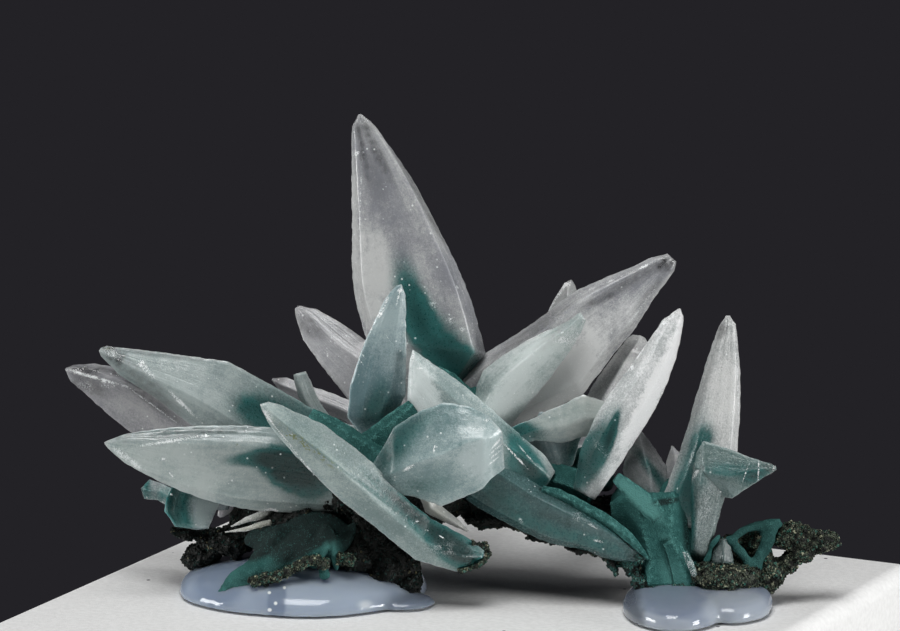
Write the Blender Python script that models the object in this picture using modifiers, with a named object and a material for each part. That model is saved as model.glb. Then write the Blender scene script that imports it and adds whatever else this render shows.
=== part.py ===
"""Calcite cluster with green inclusions, fixed by two glue mounds on a white display block.

Places on the specimen are read from its show side, in millimetres right of and above the
middle of the specimen and back from it, and spot() turns them into the block's own axes.
"""
import math
from collections import namedtuple

import bmesh
import bpy
from mathutils import Matrix, Vector, noise

MM = 0.001

# Display block, square in plan, with its underside at height zero
BLOCK_SIDE = 122.0
BLOCK_HEIGHT = 18.0
BLOCK_ARRIS = 3.0
ARRIS_STEPS = 4

# The show side: how far the specimen is turned on the block and how steeply it is looked down on
SHOW_TURN = math.radians(27)
SHOW_TILT = math.radians(12)
SHOW_DISTANCE = 1000.0
MIDDLE_ABOVE_BLOCK = 48.0
BLOCK_MIDDLE = Vector((-1.5, -4.9, 0.0))

# Toward the show side and a little up, in across, back and up
FACING = Vector((0.0, -1.0, 0.4))

# How thick a crystal's hidden side is against its shown side
HIDDEN_SHARE = 0.9

# Room left between neighbouring pieces
CLEARANCE = 0.3

# Corners of a crystal's cross-section between its two edges: share across, share of its thickness
ROOF = ((0.1, 1.0),)
ROOF_LEFT = ((-0.35, 1.0),)
FLAT_TOP = ((-0.72, 0.8), (0.72, 0.75))
STEEP_LEFT = ((-0.5, 0.9), (0.75, 0.6))
STEEP_RIGHT = ((-0.4, 0.8), (0.4, 1.0))
TWO_STEP = ((0.3, 1.0), (0.75, 0.6))

Crystal = namedtuple("Crystal", "name back flat ridges slant rings")
Lump = namedtuple("Lump", "across up back radii")

# Each ring is a crystal's width, root first: one edge's place, then the other's.
# back is how far behind the middle the root and the tip are, and flat is thickness to width.
# slant is how far the end face leans toward the show side.
CRYSTALS = (
    Crystal("spire", (3, 5), 0.62, FLAT_TOP, 0, (
        (-5.0, -23.0, 1.0, -22.5), (-9.2, -12.8, 2.0, -11.1), (-14.0, -4.1, 6.0, -6.4), (-16.2, 5.2, 2.8, 4.6),
        (-16.3, 14.2, -1.7, 14.2), (-16.4, 23.6, -6.8, 23.6), (-16.4, 31.4, -12.5, 31.8),
        (-15.3, 33.5, -14.8, 33.6))),
    Crystal("plume", (6, 19), 0.6, ROOF, 0, (
        (-10.0, -24.0, -2.0, -20.0), (-14.2, -18.2, -4.2, -12.8), (-18.8, -11.8, -8.7, -6.1),
        (-22.0, -7.8, -14.0, -4.1), (-24.5, -4.2, -18.7, -0.8), (-25.8, -0.4, -22.2, 1.1),
        (-25.9, 1.1, -25.0, 1.7))),
    Crystal("shield", (-4, -6), 0.6, STEEP_RIGHT, 0, (
        (-6.0, -27.0, -1.0, -26.0), (-15.0, -19.8, -11.0, -19.4), (-17.2, -17.1, -9.0, -16.1),
        (-16.8, -11.6, -7.3, -13.4), (-14.5, -4.9, -7.2, -5.8), (-10.8, 2.9, -7.3, 3.4),
        (-9.0, 4.9, -8.0, 5.2))),
    Crystal("left_upper", (1, 4), 0.62, TWO_STEP, 0, (
        (-3.0, -22.0, -5.0, -29.0), (-20.0, -17.1, -25.0, -25.8), (-29.0, -11.9, -35.0, -23.2),
        (-37.0, -7.6, -43.8, -17.9), (-44.5, -6.6, -49.2, -13.8), (-51.7, -5.7, -55.2, -10.0),
        (-57.2, -5.0, -58.2, -6.8), (-58.2, -5.4, -58.5, -5.9))),
    Crystal("left_back", (4, 11), 0.65, ROOF_LEFT, 0, (
        (-22.0, -20.0, -26.0, -30.0), (-36.7, -14.9, -42.5, -25.8), (-46.7, -11.1, -53.8, -19.1),
        (-53.3, -9.1, -58.8, -14.9), (-59.2, -8.0, -63.3, -11.0), (-62.7, -8.2, -64.0, -9.6),
        (-63.9, -8.7, -64.2, -9.0))),
    Crystal("left_lower", (-2, -6), 0.62, STEEP_LEFT, 0, (
        (-6.0, -24.0, -7.0, -31.0), (-19.2, -21.6, -20.8, -32.8), (-30.0, -18.6, -27.7, -32.9),
        (-39.2, -18.2, -37.5, -31.7), (-47.2, -18.7, -46.7, -28.6), (-53.8, -19.6, -54.3, -24.6),
        (-56.8, -20.8, -57.0, -22.1), (-57.6, -21.2, -57.5, -21.4))),
    Crystal("pale_long", (4, 12), 0.6, ROOF, 0, (
        (-7.0, -18.5, -10.0, -23.0), (-12.0, -16.1, -14.7, -20.1), (-17.2, -13.8, -17.5, -17.6),
        (-22.8, -11.8, -24.2, -14.8), (-27.2, -10.3, -28.3, -12.8), (-29.5, -10.3, -29.8, -10.9))),
    Crystal("pale_short", (4, 5), 0.6, ROOF_LEFT, 0, (
        (-21.0, -20.5, -18.0, -19.5), (-23.7, -16.4, -20.3, -16.4), (-25.3, -13.6, -22.0, -13.6),
        (-26.0, -11.2, -23.2, -10.9), (-26.2, -9.9, -24.0, -9.3))),
    Crystal("front_blade", (-11, -16), 0.6, ROOF, 0, (
        (5.8, -39.1, 5.2, -41.2), (3.3, -37.2, 1.0, -42.8), (-3.2, -33.8, -5.8, -40.8),
        (-8.3, -29.4, -12.7, -35.2), (-13.0, -24.4, -18.3, -30.8), (-21.0, -18.1, -25.3, -23.9),
        (-25.8, -16.0, -29.8, -18.8), (-29.2, -14.6, -31.5, -15.8), (-30.3, -14.4, -31.7, -14.8))),
    Crystal("front_block", (-12, -14), 0.6, ROOF, 1.6, (
        (-15.0, -27.0, -13.5, -30.5), (-12.3, -24.1, -11.7, -28.0), (-8.5, -18.1, -9.5, -29.6),
        (-3.3, -14.8, -5.3, -30.6), (2.7, -14.9, -0.3, -31.9), (6.5, -16.2, 3.8, -29.9),
        (8.7, -19.2, 6.8, -27.8))),
    Crystal("wedge", (-5, -7), 0.65, STEEP_LEFT, 0, (
        (16.2, -28.1, 14.3, -30.8), (10.3, -18.6, 5.0, -29.1), (6.5, -15.2, 0.0, -25.8),
        (1.3, -10.8, -4.2, -19.9), (-3.3, -7.6, -7.2, -14.4), (-6.2, -5.6, -6.8, -7.8))),
    Crystal("keel", (-5, -11), 0.65, STEEP_LEFT, 0, (
        (2.0, -20.0, -3.0, -26.0), (9.2, -24.4, 3.3, -31.2), (15.8, -28.8, 10.3, -35.1),
        (21.3, -31.6, 16.3, -37.9), (26.0, -34.2, 22.0, -39.1), (30.0, -37.4, 27.0, -40.9),
        (33.3, -40.2, 31.8, -41.4))),
    Crystal("middle", (-1.5, -2), 0.65, ROOF_LEFT, 0, (
        (-1.0, -19.0, 4.0, -26.0), (3.3, -14.1, 8.3, -21.6), (5.5, -9.1, 10.7, -17.8),
        (10.0, -5.8, 15.0, -12.6), (15.0, -2.9, 19.0, -7.4), (19.2, -1.1, 21.8, -3.1),
        (21.7, 0.6, 22.7, -0.9))),
    Crystal("right_great", (5, 5), 0.62, FLAT_TOP, 0, (
        (0.0, -11.0, 4.5, -23.0), (6.2, -6.1, 10.3, -18.8), (11.7, -2.6, 16.3, -16.1),
        (16.2, 0.6, 22.2, -13.2), (20.7, 3.9, 26.8, -7.2), (25.2, 6.1, 30.7, -2.4),
        (30.5, 8.2, 34.3, 3.1), (34.2, 9.8, 37.5, 7.4), (36.2, 10.3, 37.8, 8.9))),
    Crystal("right_peep", (8, 15), 0.6, ROOF, 0, (
        (11.0, -10.0, 18.0, -11.0), (13.3, -4.9, 20.8, -4.9), (16.3, 0.8, 22.5, 1.8),
        (18.0, 3.8, 21.2, 4.2), (19.0, 5.4, 21.0, 4.9), (20.1, 6.0, 20.3, 5.9))),
    Crystal("right_shade", (4, 14), 0.6, ROOF, 0, (
        (6.0, -18.0, 10.0, -24.0), (20.8, -17.4, 27.0, -17.4), (23.3, -12.4, 28.7, -13.2),
        (26.7, -7.4, 33.3, -6.1), (29.2, -4.1, 33.3, -4.9), (30.3, -3.2, 32.7, -3.8))),
    Crystal("right_blade", (-7, -7), 0.62, STEEP_RIGHT, 0, (
        (20.5, -28.8, 24.2, -30.8), (21.7, -22.4, 27.3, -26.4), (25.0, -15.4, 31.3, -20.4),
        (29.5, -9.1, 35.0, -14.1), (32.7, -4.6, 37.5, -7.8), (35.3, -0.8, 38.8, -2.4),
        (37.5, 0.8, 39.0, -0.2), (38.2, 1.2, 38.5, 1.1))),
    Crystal("under_upper", (-5, -5), 0.6, ROOF, 0, (
        (7.0, -20.0, 8.5, -23.5), (14.0, -16.9, 14.2, -20.8), (18.3, -14.9, 18.8, -21.3),
        (22.2, -13.1, 22.5, -20.2), (27.0, -14.6, 26.8, -19.0), (29.5, -16.4, 29.4, -17.4))),
    Crystal("under_lower", (-2, -2), 0.6, ROOF, 0, (
        (15.8, -16.0, 23.3, -17.0), (13.3, -21.1, 20.8, -21.8), (16.3, -24.4, 18.8, -24.4),
        (17.5, -25.6, 18.0, -25.6))),
    Crystal("saddle", (-5, -1), 0.6, ROOF, 0, (
        (31.0, -33.5, 37.0, -33.0), (30.3, -30.2, 36.3, -28.8), (28.7, -25.8, 36.2, -25.1),
        (29.7, -21.6, 33.7, -21.4), (30.7, -18.8, 32.0, -19.2))),
    Crystal("saddle_tip", (-4, 3), 0.6, ROOF, 0, (
        (35.0, -32.0, 41.0, -31.0), (35.3, -27.1, 40.0, -25.8), (36.0, -24.2, 39.0, -23.4),
        (36.8, -21.7, 37.3, -21.8))),
    Crystal("right_tall", (-6, -4), 0.65, STEEP_LEFT, 0, (
        (36.5, -35.0, 43.5, -36.0), (35.7, -29.4, 45.3, -30.8), (38.8, -20.8, 48.0, -22.4),
        (40.7, -14.4, 48.4, -14.4), (42.3, -9.1, 48.4, -9.1), (43.8, -4.4, 48.0, -4.4),
        (45.0, -1.4, 47.7, -1.4), (46.0, 0.0, 46.7, 0.0))),
    Crystal("right_spur", (-8, -12), 0.65, ROOF, 0, (
        (41.0, -22.8, 41.2, -27.1), (42.2, -20.8, 44.0, -30.2), (46.7, -22.2, 47.0, -30.6),
        (50.8, -23.8, 51.0, -27.9), (53.7, -24.7, 54.0, -26.1), (54.3, -25.1, 54.4, -25.7))),
    Crystal("right_prism", (-8, -9), 0.8, STEEP_LEFT, 0.8, (
        (40.7, -24.4, 46.3, -27.4), (40.2, -27.4, 45.7, -30.6), (40.2, -34.1, 44.3, -35.8),
        (40.0, -39.6, 42.8, -40.5))),
    Crystal("teal_prism", (-10, -9), 0.6, ROOF, 0, (
        (41.7, -40.8, 31.7, -45.8), (37.5, -33.2, 29.7, -38.8), (34.2, -29.9, 26.8, -33.2),
        (30.3, -27.4, 27.2, -29.9), (27.8, -26.1, 27.0, -27.1))),
    Crystal("low_left_small", (-1, 6), 0.6, ROOF, 0, (
        (-36.0, -28.5, -37.0, -32.5), (-44.2, -30.2, -45.3, -32.8), (-47.5, -28.1, -48.7, -30.9),
        (-50.0, -27.2, -51.0, -30.7), (-51.4, -28.6, -51.5, -29.2))),
    Crystal("low_left", (-1, -2), 0.55, ROOF, 0, (
        (-28.0, -27.5, -29.0, -34.0), (-36.3, -27.8, -37.3, -32.8), (-40.8, -28.8, -39.7, -35.1),
        (-44.7, -29.1, -44.3, -35.6), (-47.3, -31.1, -47.8, -33.2))),
    Crystal("sliver_left", (-5, -7), 0.4, ROOF, 0, (
        (-25.0, -30.5, -24.0, -34.0), (-29.2, -32.1, -28.3, -34.8), (-34.2, -33.8, -33.3, -35.4),
        (-37.7, -35.9, -37.3, -36.1))),
    Crystal("sliver_right", (-11, -10), 0.5, ROOF, 0, (
        (-5.0, -23.0, -6.0, -28.0), (-2.0, -31.2, -4.2, -32.8), (1.3, -33.8, -0.3, -34.8),
        (3.3, -35.8, 2.7, -36.1))),
    Crystal("teal_plank_left", (-9, -7), 0.6, STEEP_LEFT, 0, (
        (-9.2, -23.2, -10.8, -26.6), (-14.0, -20.1, -16.7, -24.4), (-18.3, -17.4, -20.8, -20.8),
        (-22.7, -15.4, -23.7, -17.1))),
    Crystal("teal_plank_right", (-9, -8), 0.6, STEEP_RIGHT, 0, (
        (-16.0, -23.0, -14.0, -27.5), (-14.0, -19.8, -13.0, -24.4), (-9.7, -16.2, -8.7, -19.1),
        (-6.7, -14.4, -5.0, -16.1))),
    Crystal("teal_foot", (-3, -9), 0.6, STEEP_LEFT, 0, (
        (-8.0, -28.0, -12.0, -33.0), (-11.0, -32.0, -13.5, -38.0), (-16.3, -35.4, -17.5, -40.6),
        (-25.0, -37.4, -24.7, -41.8), (-32.5, -40.8, -31.3, -44.6), (-38.0, -45.1, -37.0, -46.2))),
    Crystal("teal_saddle", (-1, -1), 0.6, ROOF, 0, (
        (8.0, -13.0, 4.0, -19.0), (5.5, -7.8, 2.7, -11.8), (0.5, -6.3, -0.5, -10.5),
        (-3.5, -4.5, -3.8, -7.0))),
    Crystal("rear_left", (4, 34), 0.6, FLAT_TOP, 0, (
        (-11.0, -27.0, -18.0, -25.0), (-15.0, -20.0, -24.0, -19.0), (-19.5, -15.0, -26.5, -15.5),
        (-24.0, -13.5, -25.5, -14.5))),
    Crystal("rear_middle", (2, 40), 0.7, FLAT_TOP, 0, (
        (-6.0, -21.0, 3.0, -22.0), (-6.0, -17.0, 5.5, -17.5), (-3.0, -11.0, 5.0, -11.0),
        (0.0, -7.5, 1.8, -7.5))),
    Crystal("rear_right", (3, 30), 0.6, FLAT_TOP, 0, (
        (7.0, -20.0, 11.0, -26.0), (17.0, -19.0, 26.0, -23.0), (21.0, -15.0, 27.5, -18.0),
        (25.0, -14.5, 26.5, -15.0))),
)

# Rounded masses of the crust: centre, then half-sizes across, back and up
LUMPS = (
    Lump(-25.0, -34.0, 2, (14.0, 9.0, 6.5)),
    Lump(-10.8, -37.5, -2, (6.5, 7.0, 8.0)),
    Lump(-7.6, -43.3, -4, (3.0, 4.0, 4.4)),
    Lump(-41.5, -39.8, 4, (4.2, 4.0, 3.0)),
    Lump(-41.0, -36.4, 5, (5.6, 4.0, 1.5)),
    Lump(-35.0, -37.0, 3, (6.5, 5.0, 3.4)),
    Lump(-29.0, -42.0, -4, (7.0, 5.0, 2.6)),
    Lump(-20.5, -40.6, -4, (7.0, 5.5, 3.0)),
    Lump(-8.3, -28.0, 3, (16.0, 12.0, 7.0)),
    Lump(8.3, -26.5, 2, (13.0, 11.0, 7.0)),
    Lump(22.0, -34.0, 0, (13.0, 8.0, 4.2)),
    Lump(34.5, -38.0, -6, (6.0, 6.0, 8.0)),
    Lump(45.0, -43.0, -9, (6.5, 6.0, 2.8)),
    Lump(49.8, -39.5, -8, (3.0, 2.8, 4.4)),
    Lump(55.5, -37.6, -6, (6.6, 2.6, 3.3)),
    Lump(61.0, -38.6, -5, (4.8, 2.4, 2.0)),
    Lump(53.4, -42.6, -7, (3.6, 2.8, 3.8)),
)
LARGE_LUMP = 10.0
LUMP_ROUGHNESS = 0.16
LUMP_GRAIN = 2.6

# The small window through the crust's right-hand fin
WINDOW_PLACE = (55.4, -40.3, -6)
WINDOW_SIZE = (2.6, 12.0, 2.0)

# Glue mounds: middle across and back, half-sizes across, back and up
LEFT_MOUNDS = ((-24.5, 0.8, (21.0, 17.3, 6.4)), (-8.0, -7.8, (5.6, 4.6, 1.9)))
RIGHT_MOUNDS = ((37.2, -13.0, (8.6, 13.0, 4.5)), (46.2, -10.0, (7.6, 11.0, 4.2)))
MOUND_STEPS = 32
MOUND_MERGE = 1e-5
# From the foot of a mound to its crown: share of its radius, share of its height
MOUND_PROFILE = ((0.0, 1.0), (0.35, 0.985), (0.62, 0.93), (0.82, 0.8), (0.93, 0.62), (0.99, 0.4),
                 (1.0, 0.2), (0.985, 0.0))


def clear_scene():
    for item in list(bpy.data.objects):
        bpy.data.objects.remove(item, do_unlink=True)


def make_collection(name):
    collection = bpy.data.collections.new(name)
    bpy.context.scene.collection.children.link(collection)
    return collection


def make_material(name, color, roughness, metallic=0.0):
    material = bpy.data.materials.new(name)
    material.use_nodes = True
    shader = material.node_tree.nodes["Principled BSDF"]
    shader.inputs["Base Color"].default_value = (*color, 1.0)
    shader.inputs["Roughness"].default_value = roughness
    shader.inputs["Metallic"].default_value = metallic
    return material


def to_block(seen):
    """Turn a place in the show side's level axes, in mm, into metres in the block's axes."""
    turned = Matrix.Rotation(SHOW_TURN, 3, "Z") @ (Vector(seen) - BLOCK_MIDDLE)
    turned.z += MIDDLE_ABOVE_BLOCK + BLOCK_HEIGHT
    return turned * MM


def spot(across, up, back):
    """Place a point that the show side sees at across and up, lying back mm behind the middle."""
    sine = math.sin(SHOW_TILT)
    cosine = math.cos(SHOW_TILT)
    depth = (back - up * sine) / (cosine + up * sine / SHOW_DISTANCE)
    reach = 1 + depth / SHOW_DISTANCE
    return to_block((across * reach, back, up * reach * cosine - depth * sine))


def add_object(name, bm, collection, material=None):
    mesh = bpy.data.meshes.new(name)
    bmesh.ops.recalc_face_normals(bm, faces=bm.faces)
    bm.to_mesh(mesh)
    bm.free()
    piece = bpy.data.objects.new(name, mesh)
    collection.objects.link(piece)
    if material is not None:
        mesh.materials.append(material)
    return piece


def make_cutter(piece):
    piece.hide_render = True
    piece.display_type = "WIRE"
    return piece


def centre_line(crystal):
    """Middles of a crystal's rings, as across, back and up, evenly deeper from root to tip."""
    flat = [Vector(((x + u) / 2, 0, (y + v) / 2)) for x, y, u, v in crystal.rings]
    steps = [0.0]
    for first, second in zip(flat, flat[1:]):
        steps.append(steps[-1] + (second - first).length)
    root, tip = crystal.back
    return [Vector((at.x, root + (tip - root) * step / steps[-1], at.z)) for at, step in zip(flat, steps)]


def crystal_rings(crystal, room):
    """The crystal's cross-sections as lists of points, each side moved out by room mm."""
    middles = centre_line(crystal)
    last = len(middles) - 1
    corners = ((-1.0, 0.0), *crystal.ridges, (1.0, 0.0), *((-a, -HIDDEN_SHARE * b) for a, b in crystal.ridges))
    rings = []
    for index, (x, y, u, v) in enumerate(crystal.rings):
        across = Vector((u - x, 0, v - y))
        half = across.length / 2
        across.normalize()
        ahead = (middles[min(index + 1, last)] - middles[max(index - 1, 0)]).normalized()
        outward = across.cross(ahead).normalized()
        outward *= -1 if outward.dot(FACING) < 0 else 1
        middle = middles[index]
        if index in (0, last):
            middle = middle + ahead * (room if index else -room)
        lean = crystal.slant if index == last else 0.0
        ring = []
        for a, b in corners:
            seen = middle + across * a * (half + room) + outward * b * (half * crystal.flat + room)
            seen -= ahead * b * lean
            ring.append(spot(seen.x, seen.z, seen.y))
        rings.append(ring)
    return rings


def add_crystal(crystal, collection, room=0.0):
    """The convex solid around a crystal's cross-sections, so its faces meet in clean ridges."""
    bm = bmesh.new()
    for ring in crystal_rings(crystal, room):
        for point in ring:
            bm.verts.new(point)
    hull = bmesh.ops.convex_hull(bm, input=bm.verts)
    inner = [item for item in hull["geom_interior"] if isinstance(item, bmesh.types.BMVert)]
    bmesh.ops.delete(bm, geom=inner, context="VERTS")
    return make_cutter(add_object(crystal.name, bm, collection))


def add_lump(index, lump, collection, room=0.0):
    """A rounded mass with an uneven surface, the same unevenness whatever room it is given."""
    bm = bmesh.new()
    detail = 3 if max(lump.radii) > LARGE_LUMP else 2
    bmesh.ops.create_icosphere(bm, subdivisions=detail, radius=1.0)
    centre = spot(lump.across, lump.up, lump.back)
    turn = Matrix.Rotation(SHOW_TURN, 3, "Z")
    for vert in bm.verts:
        direction = vert.co.normalized()
        swell = 1 + LUMP_ROUGHNESS * noise.noise(direction * LUMP_GRAIN + Vector((index, 0, 0)))
        reach = Vector([side * swell + room for side in lump.radii])
        vert.co = centre + turn @ Vector([a * b for a, b in zip(direction, reach)]) * MM
    return make_cutter(add_object(f"lump_{index}", bm, collection))


def add_mound(name, mound, collection):
    """A flat-bottomed dome of glue, turned from a profile and stretched to an oval."""
    across, back, (half_across, half_back, height) = mound
    bm = bmesh.new()
    profile = [bm.verts.new((radius, 0.0, share)) for radius, share in MOUND_PROFILE]
    profile.append(bm.verts.new((0.0, 0.0, 0.0)))
    edges = [bm.edges.new(pair) for pair in zip(profile, profile[1:])]
    bmesh.ops.spin(bm, geom=profile + edges, axis=(0, 0, 1), cent=(0, 0, 0),
                   angle=math.tau, steps=MOUND_STEPS)
    bmesh.ops.remove_doubles(bm, verts=bm.verts, dist=MOUND_MERGE)
    for vert in bm.verts:
        x, y, z = vert.co
        seen = (across + x * half_across, back + y * half_back,
                z * (height - CLEARANCE) + CLEARANCE - MIDDLE_ABOVE_BLOCK)
        vert.co = to_block(seen)
    return make_cutter(add_object(name, bm, collection))


def add_box(name, centre, size, turn, collection):
    """A box given by its centre in metres and its sides in mm, turned about the upright."""
    bm = bmesh.new()
    bmesh.ops.create_cube(bm, size=1.0)
    for vert in bm.verts:
        sides = Vector([share * side for share, side in zip(vert.co, size)])
        vert.co = centre + Matrix.Rotation(turn, 3, "Z") @ sides * MM
    return make_cutter(add_object(name, bm, collection))


def add_boolean(piece, operation, other):
    modifier = piece.modifiers.new(operation.title(), "BOOLEAN")
    modifier.operation = operation
    modifier.object = other
    modifier.solver = "EXACT"


def keep_largest(bm):
    """Drop the loose chips that a cut leaves behind."""
    left = set(bm.verts)
    groups = []
    while left:
        stack = [left.pop()]
        group = set(stack)
        while stack:
            for edge in stack.pop().link_edges:
                for vert in edge.verts:
                    if vert in left:
                        left.remove(vert)
                        group.add(vert)
                        stack.append(vert)
        groups.append(group)
    biggest = max(groups, key=len)
    chips = [vert for group in groups if group is not biggest for vert in group]
    bmesh.ops.delete(bm, geom=chips, context="VERTS")


def fuse(name, solids, cutters, collection, material=None):
    """Join solids in one, cut others away from it, and keep the result as a plain mesh."""
    base = solids[0].copy()
    collection.objects.link(base)
    for solid in solids[1:]:
        add_boolean(base, "UNION", solid)
    for cutter in cutters:
        add_boolean(base, "DIFFERENCE", cutter)
    bpy.context.view_layer.update()
    mesh = bpy.data.meshes.new_from_object(base.evaluated_get(bpy.context.evaluated_depsgraph_get()))
    bpy.data.objects.remove(base, do_unlink=True)
    bm = bmesh.new()
    bm.from_mesh(mesh)
    bpy.data.meshes.remove(mesh)
    keep_largest(bm)
    return add_object(name, bm, collection, material)


def display_block(parts, material):
    bpy.ops.mesh.primitive_cube_add(size=1.0, location=(0, 0, BLOCK_HEIGHT * MM / 2))
    block = bpy.context.object
    block.name = "display_block"
    block.scale = (BLOCK_SIDE * MM, BLOCK_SIDE * MM, BLOCK_HEIGHT * MM)
    bpy.ops.object.transform_apply(location=False, rotation=False, scale=True)
    for collection in list(block.users_collection):
        collection.objects.unlink(block)
    parts.objects.link(block)
    block.data.materials.append(material)
    arris = block.modifiers.new("Arris", "BEVEL")
    arris.width = BLOCK_ARRIS * MM
    arris.segments = ARRIS_STEPS


def build():
    clear_scene()
    parts = make_collection("calcite_specimen")
    forms = make_collection("construction_forms")

    crystals = [add_crystal(crystal, forms) for crystal in CRYSTALS]
    roomy_crystals = [add_crystal(crystal, forms, CLEARANCE) for crystal in CRYSTALS]
    lumps = [add_lump(index, lump, forms) for index, lump in enumerate(LUMPS)]
    roomy_lumps = [add_lump(index, lump, forms, CLEARANCE) for index, lump in enumerate(LUMPS)]
    crystal_room = make_cutter(fuse("crystal_room", roomy_crystals, (), forms))
    crust_room = make_cutter(fuse("crust_room", roomy_lumps, (), forms))
    room_side = BLOCK_SIDE + 2 * CLEARANCE
    block_middle = Vector((0, 0, (BLOCK_HEIGHT / 2 + CLEARANCE) * MM))
    block_room = add_box("block_room", block_middle, (room_side, room_side, BLOCK_HEIGHT), 0, forms)
    window = add_box("window", spot(*WINDOW_PLACE), WINDOW_SIZE, SHOW_TURN, forms)

    calcite = make_material("calcite", (0.5, 0.58, 0.57), 0.2)
    crust = make_material("dark_druse", (0.03, 0.07, 0.06), 0.6)
    glue = make_material("lilac_glue", (0.38, 0.42, 0.52), 0.15)
    paint = make_material("white_block", (0.8, 0.8, 0.79), 0.6)

    display_block(parts, paint)
    fuse("calcite_crystals", crystals, (), parts, calcite)
    fuse("matrix_crust", lumps, (crystal_room, block_room, window), parts, crust)
    for side, mounds in (("left", LEFT_MOUNDS), ("right", RIGHT_MOUNDS)):
        domes = [add_mound(f"{side}_dome_{index}", mound, forms) for index, mound in enumerate(mounds)]
        fuse(f"glue_mound_{side}", domes, (crust_room, crystal_room), parts, glue)


build()
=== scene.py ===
"""Looks of a calcite cluster with green inclusions, glued to a white display block.

Places on the specimen are read from its show side, in millimetres right of and above the
middle of the specimen and back from it, and spot() turns them into the block's own axes.
"""
import math
from collections import namedtuple

import bmesh
import bpy
from mathutils import Matrix, Vector, noise


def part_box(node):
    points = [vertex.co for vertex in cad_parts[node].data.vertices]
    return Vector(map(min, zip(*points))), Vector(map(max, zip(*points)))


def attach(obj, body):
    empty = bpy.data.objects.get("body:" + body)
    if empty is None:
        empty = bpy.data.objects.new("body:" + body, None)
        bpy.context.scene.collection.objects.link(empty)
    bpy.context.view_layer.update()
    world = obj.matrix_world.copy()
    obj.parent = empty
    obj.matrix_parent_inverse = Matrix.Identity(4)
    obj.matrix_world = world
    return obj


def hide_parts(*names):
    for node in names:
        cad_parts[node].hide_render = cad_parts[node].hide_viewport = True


MM = 0.001

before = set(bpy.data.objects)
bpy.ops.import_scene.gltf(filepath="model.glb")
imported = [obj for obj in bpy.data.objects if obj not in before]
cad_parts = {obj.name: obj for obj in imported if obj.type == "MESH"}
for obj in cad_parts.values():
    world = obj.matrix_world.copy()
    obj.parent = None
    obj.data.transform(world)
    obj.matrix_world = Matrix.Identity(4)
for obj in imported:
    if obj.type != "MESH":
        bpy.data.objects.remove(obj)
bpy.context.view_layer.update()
BLOCK_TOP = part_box("display_block")[1].z

# The show side: how far the specimen is turned on the block and how steeply it is looked down on
SHOW_TURN = math.radians(27)
SHOW_TILT = math.radians(12)
SHOW_DISTANCE = 1000.0
MIDDLE_ABOVE_BLOCK = 48.0
BLOCK_MIDDLE = Vector((-1.5, -4.9, 0.0))

# Toward the show side and a little up, in across, back and up
FACING = Vector((0.0, -1.0, 0.4))

# How thick a crystal's hidden side is against its shown side
HIDDEN_SHARE = 0.9

# How much gentler the ridges of some crystals are on the show side
GENTLE = {"shield": 0.45, "left_upper": 0.7, "front_block": 0.7, "wedge": 0.75, "right_spur": 0.7,
          "under_upper": 0.6, "under_lower": 0.6, "left_lower": 0.45, "plume": 0.2, "low_left": 0.4}

# Corners of a crystal's cross-section between its two edges: share across, share of its thickness
ROOF = ((0.1, 1.0),)
ROOF_LEFT = ((-0.35, 1.0),)
FLAT_TOP = ((-0.72, 0.8), (0.72, 0.75))
STEEP_LEFT = ((-0.5, 0.9), (0.75, 0.6))
STEEP_RIGHT = ((-0.4, 0.8), (0.4, 1.0))
TWO_STEP = ((0.3, 1.0), (0.75, 0.6))
NARROW_BEVELS = ((-0.82, 0.75), (0.8, 0.75))
THREE_FACES = ((-0.35, 0.85), (0.42, 1.0))
PRISM_FACES = ((-0.35, 1.0), (0.5, 0.75))

Crystal = namedtuple("Crystal", "name back flat ridges slant rings")
Lump = namedtuple("Lump", "across up back radii turn", defaults=(0,))

# How far a ridge shifts across from root to tip, for the crystals that grew askew
RIDGE_SHIFT = {"front_block": -1.3, "teal_prism": 0.9}

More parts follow.
